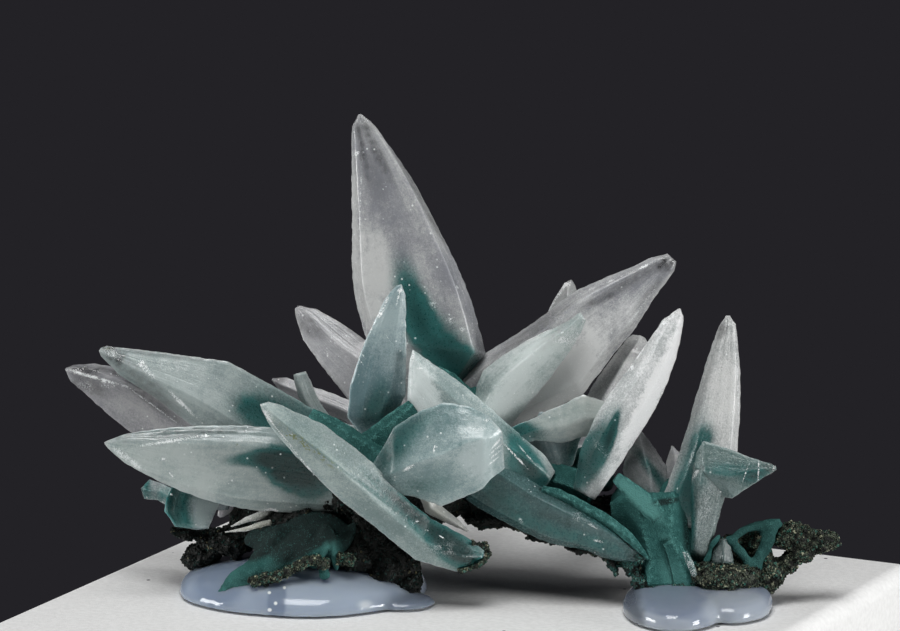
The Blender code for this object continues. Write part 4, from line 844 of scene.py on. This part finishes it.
def matt_teal(name, light=(), dark=()):
    """The velvety green faces, with patches of painted light and painted shade, and paler near edges."""
    recipe = Recipe(name)
    place = recipe.place()
    seen = recipe.attribute("seen")
    edge = recipe.attribute("edge", "Fac")
    fine = recipe.noise(place, 1.2, 5.0)
    cloud = recipe.noise(place, 0.3, 3.0)
    grains = recipe.noise(place, 4.5, 2.0)
    wobble = (cloud - 0.5) * 0.5 + (fine - 0.5) * 0.2
    shade = recipe.rise(fine * 0.3 + cloud * 0.7 + (grains - 0.5) * 0.7, 0.25, 0.75)
    colour = recipe.mix(shade, TEAL_SHADE, TEAL_MATT)
    # Painted light and painted shade: the lit patches turn pale green, the shaded ones near-black
    colour = recipe.mix(recipe.rise(recipe.patches(seen, light, wobble), 0.0, 1.3), colour, TEAL_PALE_AND_LIT)
    colour = recipe.mix(recipe.rise(recipe.patches(seen, dark, wobble), 0.0, 1.1), colour, TEAL_PAINTED_SHADE)
    # Paler near the edges and in fine grains
    pale_edges = (1 - recipe.rise(edge, 0.05, 0.9)) * recipe.rise(fine * 0.6 + grains * 0.4, 0.4, 0.62)
    sand = recipe.rise(grains * 0.6 + fine * 0.4, 0.52, 0.66) * 0.4
    colour = recipe.mix(recipe.rise(pale_edges * 0.7 + sand, 0.0, 1.0), colour, TEAL_PALE_AND_LIT)
    pits = recipe.rise(recipe.cells(place, 1.4), 0.04, 0.16) + recipe.rise(cloud, 0.4, 0.55)
    colour = recipe.mix(recipe.rise(pits, 0.0, 1.0), TEAL_DARK, colour)
    normal = recipe.bump(fine * 0.5 + grains * 0.8, 0.32)
    shader = recipe.surface(Base_Color=colour, Roughness=0.8, Specular_IOR_Level=0.25, Normal=normal)
    return recipe.finish(shader)


def druse(name, ground, green, pale, pale_share):
    """Small dark crystals with green and pale ones among them, painted glints in the pale colour, and painted
    shade in the hollows between them.
    """
    recipe = Recipe(name)
    place = recipe.place()
    kind = recipe.attribute("grain", "Fac")
    patches = recipe.noise(place, 0.35, 3.0)
    fine = recipe.noise(place, 3.0, 3.0)
    crumbs = recipe.noise(place, 4.6, 1.0)
    colour = recipe.mix(recipe.rise(kind * 0.5 + patches + (fine - 0.5) * 0.4, 0.65, 1.0), ground, green)
    light = recipe.rise(kind + (patches - 0.5) * 0.5, 0.98 - pale_share, 1.02 - pale_share)
    # Painted glints, in the pale colour, stronger where pale crystals are common
    glint = recipe.rise(crumbs * 0.7 + fine * 0.3, 0.53, 0.64) * (3 * pale_share)
    colour = recipe.mix(recipe.rise(light + glint, 0.0, 1.0), colour, pale)
    # Painted shade in the hollows between the crystals
    shaded_hollows = recipe.rise(recipe.noise(place, 0.9, 2.0), 0.36, 0.56) * recipe.rise(crumbs + fine, 0.86, 1.04)
    colour = recipe.mix(shaded_hollows, DRUSE_HOLLOW_SHADE, colour)
    normal = recipe.bump(fine, 0.12)
    rough = 0.35 + 0.4 * fine
    shader = recipe.surface(Base_Color=colour, Roughness=rough, Specular_IOR_Level=0.2, Normal=normal)
    return recipe.finish(shader)


def set_glue(name, look):
    """Glossy glue in clouds of two blues, with given lighter patches and patches of painted shade,
    see-through places and white bubbles.
    """
    recipe = Recipe(name)
    place = recipe.place()
    seen = recipe.attribute("seen")
    cloud = recipe.noise(place, 0.09, 2.0)
    wobble = (recipe.noise(place, 0.3, 2.0) - 0.5) * 0.5
    milk = recipe.patches(seen, look.milk, wobble)
    clear = recipe.patches(seen, look.clear, wobble)
    bubbles = recipe.patches(seen, look.frost, wobble * 0.3)
    tone = recipe.rise(cloud + milk, 0.2, 0.8)
    colour = recipe.mix(tone, look.dim, look.pale)
    colour = recipe.mix(recipe.rise(bubbles, 0.0, 1.0), colour, FROST_AND_HIGHLIGHT)
    normal = recipe.bump(recipe.noise(place, 0.25, 2.0), 0.1)
    milky = recipe.surface(Base_Color=colour, Roughness=0.06, IOR=1.5, Normal=normal,
                           Subsurface_Weight=1.0, Subsurface_Scale=0.003, Subsurface_Radius=(1.0, 1.0, 1.2))
    glassy = recipe.surface(Base_Color=CLEAR_GLUE, Roughness=0.04, IOR=1.45, Normal=normal,
                            Transmission_Weight=1.0)
    return recipe.finish(recipe.blend(clear + look.haze, milky, glassy))


def white_paint(name):
    """The block's matt white, with a fine grain and a few dark specks."""
    recipe = Recipe(name)
    place = recipe.place()
    fine = recipe.noise(place, 1.1, 4.0)
    grains = recipe.noise(place, 3.5, 2.0)
    speck = recipe.cells(place, 0.12)
    dark = 1 - recipe.rise(speck, 0.03, 0.05)
    colour = recipe.mix(recipe.rise(fine, 0.2, 0.8), PAINT_DIM, PAINT_PALE)
    colour = recipe.mix(dark, colour, PAINT_SPECK)
    normal = recipe.bump(fine * 0.5 + grains * 0.5, 0.12)
    return recipe.finish(recipe.surface(Base_Color=colour, Roughness=0.7, Normal=normal))


def plain_floor(name):
    """The grey of what the block stands on."""
    recipe = Recipe(name)
    fine = recipe.noise(recipe.place(), 0.5, 3.0)
    colour = recipe.mix(fine, FLOOR_DIM, FLOOR_PALE)
    return recipe.finish(recipe.surface(Base_Color=colour, Roughness=0.8))


def to_block(seen):
    """Turn a place in the show side's level axes, in mm, into metres in the block's axes."""
    turned = Matrix.Rotation(SHOW_TURN, 3, "Z") @ (Vector(seen) - BLOCK_MIDDLE)
    turned.z += MIDDLE_ABOVE_BLOCK
    turned *= MM
    turned.z += BLOCK_TOP
    return turned


def spot(across, up, back):
    """Place a point that the show side sees at across and up, lying back mm behind the middle."""
    sine = math.sin(SHOW_TILT)
    cosine = math.cos(SHOW_TILT)
    depth = (back - up * sine) / (cosine + up * sine / SHOW_DISTANCE)
    reach = 1 + depth / SHOW_DISTANCE
    return to_block((across * reach, back, up * reach * cosine - depth * sine))


def add_piece(name, bm, material, smooth=True):
    """Make a piece of a finished mesh, in one material."""
    mesh = bpy.data.meshes.new(name)
    bm.to_mesh(mesh)
    bm.free()
    if smooth:
        mesh.shade_smooth()
    mesh.materials.append(material)
    piece = bpy.data.objects.new(name, mesh)
    bpy.context.scene.collection.objects.link(piece)
    return piece


def melt(piece, voxel, smoothing=0):
    """Join a piece's masses in one skin, with voxels of the given size in mm."""
    remesh = piece.modifiers.new("Melt", "REMESH")
    remesh.mode = "VOXEL"
    remesh.voxel_size = voxel * MM
    if smoothing:
        smooth = piece.modifiers.new("Smooth", "SMOOTH")
        smooth.iterations = smoothing
    apply_modifiers(piece)


def mark_seen(piece):
    """Keep where the show side sees each point of a piece that has no crystal edges."""
    unturn = Matrix.Rotation(-SHOW_TURN, 3, "Z")
    bm = bmesh.new()
    bm.from_mesh(piece.data)
    layer = bm.verts.layers.float_vector.new("seen")
    edge_layer = bm.verts.layers.float.new("edge")
    for vert in bm.verts:
        vert[edge_layer] = NO_EDGE_NEAR
        level = (vert.co - Vector((0.0, 0.0, BLOCK_TOP))) / MM
        level.z -= MIDDLE_ABOVE_BLOCK
        across, back, up = unturn @ level + BLOCK_MIDDLE
        vert[layer] = (across, up * math.cos(SHOW_TILT) + back * math.sin(SHOW_TILT), back)
    bm.to_mesh(piece.data)
    bm.free()


def apply_modifiers(piece):
    """Replace a piece's mesh by what its modifiers make of it."""
    graph = bpy.context.evaluated_depsgraph_get()
    mesh = bpy.data.meshes.new_from_object(piece.evaluated_get(graph))
    piece.modifiers.clear()
    piece.data = mesh


def centre_line(crystal):
    """Middles of a crystal's rings, as across, back and up, evenly deeper from root to tip."""
    flat = [Vector(((x + u) / 2, 0, (y + v) / 2)) for x, y, u, v in crystal.rings]
    steps = [0.0]
    for first, second in zip(flat, flat[1:]):
        steps.append(steps[-1] + (second - first).length)
    root, tip = crystal.back
    return [Vector((at.x, root + (tip - root) * step / steps[-1], at.z)) for at, step in zip(flat, steps)]


def crystal_rings(crystal):
    """The crystal's cross-sections as lists of corners, in across, back and up."""
    middles = centre_line(crystal)
    last = len(middles) - 1
    shift = RIDGE_SHIFT.get(crystal.name, 0.0)
    gentle = GENTLE.get(crystal.name, 1.0)
    rings = []
    for index, (x, y, u, v) in enumerate(crystal.rings):
        ridges = [(a + shift * (index / last - 0.5), b) for a, b in crystal.ridges]
        corners = ((-1.0, 0.0), *ridges, (1.0, 0.0), *((-a, -HIDDEN_SHARE * b) for a, b in ridges))
        across = Vector((u - x, 0, v - y))
        half = across.length / 2
        across.normalize()
        ahead = (middles[min(index + 1, last)] - middles[max(index - 1, 0)]).normalized()
        outward = across.cross(ahead).normalized()
        outward *= -1 if outward.dot(FACING) < 0 else 1
        lean = crystal.slant if index == last else 0.0
        thick = half * crystal.flat
        rings.append([middles[index] + across * a * half + outward * b * thick * (gentle if b > 0 else 1.0)
                      - ahead * b * lean for a, b in corners])
    return rings, corners, middles


class Track:
    """A line through points at given steps, with corners where it bends much and curves elsewhere."""

    def __init__(self, points, steps):
        self.points = points
        self.steps = steps
        last = len(points) - 1
        slopes = [(b - a) / (t - s) for a, b, s, t in zip(points, points[1:], steps, steps[1:])]
        self.arriving = [slopes[0], *slopes]
        self.leaving = [*slopes, slopes[-1]]
        for index in range(1, last):
            bend = slopes[index - 1].angle(slopes[index], 0.0)
            if bend < CORNER_BEND:
                before = steps[index] - steps[index - 1]
                after = steps[index + 1] - steps[index]
                middle = (slopes[index - 1] * after + slopes[index] * before) / (before + after)
                self.arriving[index] = middle
                self.leaving[index] = middle

    def at(self, step):
        index = 0
        while index < len(self.steps) - 2 and step > self.steps[index + 1]:
            index += 1
        width = self.steps[index + 1] - self.steps[index]
        t = (step - self.steps[index]) / width
        square = t * t
        cube = square * t
        start = self.points[index] * (2 * cube - 3 * square + 1)
        finish = self.points[index + 1] * (3 * square - 2 * cube)
        out = self.leaving[index] * ((cube - 2 * square + t) * width)
        home = self.arriving[index + 1] * ((cube - square) * width)
        return start + finish + out + home


def section_points(ring, shares, sides):
    """Round a ring's corners and put points along its sides.

    Each point comes with its share across and its share of the thickness, and with how far it is
    from the nearest edge.
    """
    count = len(ring)
    points = []
    for index in range(count):
        here = ring[index]
        ahead = ring[(index + 1) % count]
        behind = ring[index - 1]
        side = (ahead - here).length
        cut_back = min(LONGEST_CUT, EDGE_ROUNDING / max((behind - here).length, TINY))
        cut_ahead = min(LONGEST_CUT, EDGE_ROUNDING / max(side, TINY))
        bend = here + (behind - here) * cut_back * CORNER_CUT + (ahead - here) * cut_ahead * CORNER_CUT
        points.append((bend, shares[index], 0.0))
        for step in range(sides + 1):
            t = cut_ahead + (1 - 2 * cut_ahead) * step / sides
            share = shares[index].lerp(shares[(index + 1) % count], t)
            points.append((here.lerp(ahead, t), share, min(t, 1 - t) * side))
    return points


def bumps(place, width, height):
    """Smooth bumps about width mm wide and up to height mm high."""
    return noise.noise(place / width) * height


def crystal_relief(place, across, along, length, grain):
    """How far a crystal's surface stands proud at a point, in mm."""
    waves = bumps(place, *WAVE) + bumps(place, *RIPPLE)
    ribs = noise.noise(Vector((across * RIB_COUNT, along * length / RIB_LENGTH, RIB_START))) * RIB_HEIGHT
    chips = bumps(place, *CHIP) * abs(across) ** EDGE_FADE
    return waves + ribs + chips + bumps(place, *CRYSTAL_GRAIN) * grain


def ring_steps(middles):
    """How far along the crystal each of its rings is, in mm."""
    steps = [0.0]
    for first, second in zip(middles, middles[1:]):
        steps.append(steps[-1] + max((second - first).length, SHORTEST_STEP))
    return steps


def mesh_levels(steps):
    """How far along the crystal each row of its mesh is, in mm."""
    levels = [0.0]
    for first, second in zip(steps, steps[1:]):
        count = max(FEWEST_FACES, round((second - first) / FACE_SIZE))
        levels += [first + (second - first) * (index + 1) / count for index in range(count)]
    return levels


def wrapped_grid(sections, levels, half_width):
    """A grid wrapped round a crystal's cross-sections. Its points know where on the crystal they are."""
    rows = len(levels) - 1
    around = len(sections[0])
    length = levels[-1]
    bm = bmesh.new()
    grown_layer = bm.verts.layers.float_vector.new("grown")
    share_layer = bm.verts.layers.float_vector.new("share")
    seen_layer = bm.verts.layers.float_vector.new("seen")
    edge_layer = bm.verts.layers.float.new("edge")
    outer_layer = bm.verts.layers.float.new("outer")
    bmesh.ops.create_grid(bm, x_segments=rows, y_segments=around, size=0.5)
    for vert in bm.verts:
        row = round((vert.co.x + 0.5) * rows)
        turn = round((vert.co.y + 0.5) * around) % around
        point, share, edge = sections[row][turn]
        vert[share_layer] = Vector((share.x, levels[row] / length, share.z))
        vert[seen_layer] = (point.x, point.z, point.y)
        vert[edge_layer] = edge
        vert[outer_layer] = abs(share.x) ** EDGE_FADE
        vert[grown_layer] = Vector((share.x * half_width, levels[row], share.z * half_width))
        vert.co = point
    bmesh.ops.remove_doubles(bm, verts=bm.verts, dist=WELD)
    bmesh.ops.holes_fill(bm, edges=[edge for edge in bm.edges if edge.is_boundary], sides=0)
    bmesh.ops.recalc_face_normals(bm, faces=bm.faces)
    return bm


def grow_crystal(crystal, material, grain):
    """One crystal: a grid wrapped round its smooth cross-sections, with relief on its faces."""
    rings, corners, middles = crystal_rings(crystal)
    steps = ring_steps(middles)
    levels = mesh_levels(steps)
    tracks = [Track([ring[index] for ring in rings], steps) for index in range(len(corners))]
    shares = [Vector((a, 0.0, b)) for a, b in corners]
    widest = max((ring[index] - ring[index - 1]).length for ring in rings for index in range(len(ring)))
    sides = max(FEWEST_FACES, round(widest / FACE_SIZE))
    sections = [section_points([track.at(level) for track in tracks], shares, sides) for level in levels]
    half_width = (rings[0][0] - rings[0][len(corners) // 2]).length / 2
    bm = wrapped_grid(sections, levels, half_width)
    share_layer = bm.verts.layers.float_vector["share"]
    bm.normal_update()
    moved = []
    for vert in bm.verts:
        across, along, _ = vert[share_layer]
        rise = crystal_relief(vert.co, across, along, steps[-1], grain)
        moved.append(vert.co + vert.normal * rise)
    for vert, place in zip(bm.verts, moved):
        vert.co = spot(place.x, place.z, place.y)
    bmesh.ops.recalc_face_normals(bm, faces=bm.faces)
    return add_piece(crystal.name, bm, material)


def round_masses(lumps, roughness):
    """The uneven rounded masses, each by itself."""
    bm = bmesh.new()
    turn = Matrix.Rotation(SHOW_TURN, 3, "Z")
    for index, lump in enumerate(lumps):
        made = bmesh.ops.create_icosphere(bm, subdivisions=LUMP_DIVISIONS, radius=1.0)
        centre = spot(lump.across, lump.up, lump.back)
        lean = Matrix.Rotation(-math.radians(lump.turn), 3, "Y")
        for vert in made["verts"]:
            direction = vert.co.normalized()
            swell = 1 + roughness * noise.noise(direction * LUMP_GRAIN + Vector((index, 0, 0)))
            across, back, up = [a * b * swell * MM for a, b in zip(direction, lump.radii)]
            vert.co = centre + turn @ lean @ Vector((across, back, up))
    return bm


def lumpy_form(name, lumps, material, rough=1.0):
    """Rounded masses melted into one another. rough is how strongly their surface is pitted."""
    piece = add_piece(name, round_masses(lumps, LUMP_ROUGHNESS * rough), material, smooth=False)
    melt(piece, CRUST_VOXEL)
    bm = bmesh.new()
    bm.from_mesh(piece.data)
    bm.normal_update()
    floor = BLOCK_TOP + CRUST_CLEARANCE * MM
    moved = []
    for vert in bm.verts:
        place = vert.co / MM
        proud = abs(bumps(place, *PIT)) + bumps(place, *KNOB) - KNOB[1]
        moved.append(vert.co + vert.normal * proud * rough * MM)
    for vert, place in zip(bm.verts, moved):
        vert.co = place
        vert.co.z = max(vert.co.z, floor)
    bm.to_mesh(piece.data)
    bm.free()
    if rough < 1.0:
        piece.data.shade_smooth()
    return piece


def grain_scatter(material, density):
    """A node group that covers a surface with small crystals of mixed size and kind."""
    group = bpy.data.node_groups.new(f"{material.name}_grains", "GeometryNodeTree")
    group.interface.new_socket("Geometry", in_out="INPUT", socket_type="NodeSocketGeometry")
    group.interface.new_socket("Geometry", in_out="OUTPUT", socket_type="NodeSocketGeometry")
    nodes = group.nodes
    link = group.links.new

    def add(kind, settings=None, **values):
        made = nodes.new(kind)
        for key, value in (settings or {}).items():
            setattr(made, key, value)
        for key, value in values.items():
            made.inputs[key.replace("_", " ")].default_value = value
        return made

    start = add("NodeGroupInput")
    end = add("NodeGroupOutput")
    points = add("GeometryNodeDistributePointsOnFaces", Density=density / MM / MM, Seed=3)
    grain_sides = (GRAIN_SIZE * MM, GRAIN_SIZE * MM, GRAIN_SIZE * GRAIN_FLATNESS * MM)
    grain = add("GeometryNodeMeshCube", Size=grain_sides)
    turn = add("FunctionNodeRandomValue", {"data_type": "FLOAT_VECTOR"}, Seed=5)
    turn.inputs[1].default_value = (math.tau, math.tau, math.tau)
    size = add("FunctionNodeRandomValue", {"data_type": "FLOAT"}, Seed=7)
    size.inputs[2].default_value = SMALLEST_GRAIN
    size.inputs[3].default_value = LARGEST_GRAIN
    kind = add("FunctionNodeRandomValue", {"data_type": "FLOAT"}, Seed=9)
    copies = add("GeometryNodeInstanceOnPoints")
    name = add("GeometryNodeStoreNamedAttribute", {"data_type": "FLOAT", "domain": "INSTANCE"}, Name="grain")
    real = add("GeometryNodeRealizeInstances")
    paint = add("GeometryNodeSetMaterial")
    paint.inputs["Material"].default_value = material
    both = add("GeometryNodeJoinGeometry")
    link(start.outputs[0], points.inputs["Mesh"])
    link(points.outputs["Points"], copies.inputs["Points"])
    link(grain.outputs["Mesh"], copies.inputs["Instance"])
    link(turn.outputs["Value"], copies.inputs["Rotation"])
    link(size.outputs[1], copies.inputs["Scale"])
    link(copies.outputs[0], name.inputs["Geometry"])
    link(kind.outputs[1], name.inputs["Value"])
    link(name.outputs[0], real.inputs[0])
    link(real.outputs[0], paint.inputs["Geometry"])
    link(paint.outputs[0], both.inputs[0])
    link(start.outputs[0], both.inputs[0])
    link(both.outputs[0], end.inputs[0])
    return group


def crust_piece(name, lumps, material, density):
    """A part of the crust, covered with small crystals."""
    piece = lumpy_form(name, lumps, material)
    scatter = piece.modifiers.new("Grains", "NODES")
    scatter.node_group = grain_scatter(material, density)
    apply_modifiers(piece)
    return piece


def glue_mound(name, mounds, material):
    """Smooth mounds of glue run into one another, flat on the block."""
    bm = bmesh.new()
    for across, back, (half_across, half_back, height), steepness in mounds:
        made = bmesh.ops.create_uvsphere(bm, u_segments=MOUND_SEGMENTS, v_segments=MOUND_SEGMENTS // 2,
                                         radius=1.0)
        for vert in made["verts"]:
            x, y, z = vert.co
            bulge = 1 + MOUND_BULGE * noise.noise(Vector((x * 2, y * 2, across)))
            up = max(z, 0.0) ** steepness
            seen = (across + x * half_across * bulge, back + y * half_back * bulge,
                    up * height + MOUND_LIFT - MIDDLE_ABOVE_BLOCK)
            vert.co = to_block(seen)
    piece = add_piece(name, bm, material, smooth=False)
    melt(piece, MOUND_VOXEL, MOUND_SMOOTHING)
    piece.data.shade_smooth()
    mark_seen(piece)
    return piece


def painted_block(material):
    """The display block with rounded-off edges."""
    low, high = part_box("display_block")
    bm = bmesh.new()
    bmesh.ops.create_cube(bm, size=1.0)
    for vert in bm.verts:
        vert.co = Vector([(low[i] + high[i]) / 2 + vert.co[i] * (high[i] - low[i]) for i in range(3)])
    bmesh.ops.bevel(bm, geom=bm.edges, offset=BLOCK_ARRIS * MM, offset_type="OFFSET", affect="EDGES",
                    segments=ARRIS_STEPS, profile=0.5, material=-1)
    return add_piece("white_block", bm, material)


def stage_floor(material):
    """What the block stands on."""
    bm = bmesh.new()
    bmesh.ops.create_grid(bm, x_segments=FLOOR_SQUARES, y_segments=FLOOR_SQUARES, size=0.5)
    left, right, front, back = FLOOR_REACH
    for vert in bm.verts:
        vert.co.x = MM * (left + (right - left) * (vert.co.x + 0.5))
        vert.co.y = MM * (front + (back - front) * (vert.co.y + 0.5))
    floor = add_piece("floor", bm, material)


def soft_light(name, place, side, power):
    """A square soft box aimed at the specimen."""
    light = bpy.data.lights.new(name, "AREA")
    light.size = side
    light.energy = power
    lamp = bpy.data.objects.new(name, light)
    bpy.context.scene.collection.objects.link(lamp)
    lamp.location = to_block(place)
    aim = to_block(LIT_PLACE) - lamp.location
    lamp.rotation_euler = aim.to_track_quat("-Z", "Y").to_euler()
    lamp.visible_camera = False


def studio():
    """A dark room with soft lights."""
    world = bpy.data.worlds.new("dark_room")
    bpy.context.scene.world = world
    world.use_nodes = True
    world.node_tree.nodes["Background"].inputs["Color"].default_value = ROOM_DARK
    for light in LIGHTS:
        soft_light(*light)
    bpy.context.scene.view_settings.view_transform = "Standard"


def camera():
    """The eye on the show side, a little above the specimen."""
    data = bpy.data.cameras.new("show_camera")
    data.lens = LENS
    data.sensor_width = SENSOR_WIDTH
    data.clip_start = NEAREST_SEEN
    eye = bpy.data.objects.new("show_camera", data)
    bpy.context.scene.collection.objects.link(eye)
    away = Vector((math.sin(SHOW_TURN) * math.cos(SHOW_TILT), -math.cos(SHOW_TURN) * math.cos(SHOW_TILT),
                   math.sin(SHOW_TILT)))
    eye.location = to_block((0.0, 0.0, 0.0)) + away * SHOW_DISTANCE * MM
    eye.rotation_euler = (-away).to_track_quat("-Z", "Y").to_euler()
    bpy.context.scene.camera = eye


def mount(piece, node):
    """Fix a piece to the object, in place of a node."""
    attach(piece, "root")
    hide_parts(node)


def display_block():
    mount(painted_block(white_paint("white_paint")), "display_block")


def glue():
    left_glue = glue_mound("left_glue", LEFT_MOUNDS, set_glue("left_glue_blue", LEFT_GLUE))
    right_glue = glue_mound("right_glue", RIGHT_MOUNDS, set_glue("right_glue_blue", RIGHT_GLUE))
    mount(left_glue, "glue_mound_left")
    mount(right_glue, "glue_mound_right")


def crystals(velvet):
    """All crystals: stone ones each have their own finish, and the velvety ones share two."""
    prism = matt_teal("prism_teal", PRISM_PAINTED_LIGHT, PRISM_PAINTED_SHADE)
    for crystal in CRYSTALS:
        look = LOOKS.get(crystal.name)
        if look:
            piece = grow_crystal(crystal, calcite(f"{crystal.name}_stone", look), look.grain)
        else:
            piece = grow_crystal(crystal, prism if crystal.name in PRISM_CRYSTALS else velvet, VELVET_GRAIN)
        mount(piece, "calcite_crystals")


def crust():
    """The dark crust, its knobbly edges and its green edge. The black parts have fewer crystals."""
    black = druse("black_druse", *BLACK_DRUSE)
    olive = druse("olive_druse", *OLIVE_DRUSE)
    green = druse("green_druse", *GREEN_DRUSE)
    for name, lumps, material, density in (
            ("crust_left", LUMPS_LEFT, black, HIDDEN_GRAIN_DENSITY),
            ("crust_middle", LUMPS_MIDDLE, black, HIDDEN_GRAIN_DENSITY),
            ("crust_right", LUMPS_RIGHT, olive, GRAIN_DENSITY),
            ("rim_left", RIM_LEFT, olive, GRAIN_DENSITY),
            ("rim_middle", RIM_MIDDLE, olive, GRAIN_DENSITY),
            ("green_skirt", GREEN_SKIRT, green, GRAIN_DENSITY)):
        mount(crust_piece(name, lumps, material, density), "matrix_crust")


def velvety_masses(velvet):
    """The green masses at the foot of the crystals."""
    foot = matt_teal("foot_teal", FOOT_PAINTED_LIGHT, FOOT_PAINTED_SHADE)
    web = matt_teal("web_teal", (), WEB_PAINTED_SHADE)
    for name, lumps, material in (
            ("teal_foot", TEAL_FOOT, foot),
            ("teal_middle", TEAL_MIDDLE, velvet),
            ("teal_web", TEAL_WEB, web)):
        piece = lumpy_form(name, lumps, material, VELVET_SHARE)
        mark_seen(piece)
        mount(piece, "matrix_crust")


def build():
    camera()
    studio()
    stage_floor(plain_floor("plain_floor"))
    display_block()
    glue()
    velvet = matt_teal("matt_teal")
    crystals(velvet)
    crust()
    velvety_masses(velvet)


build()
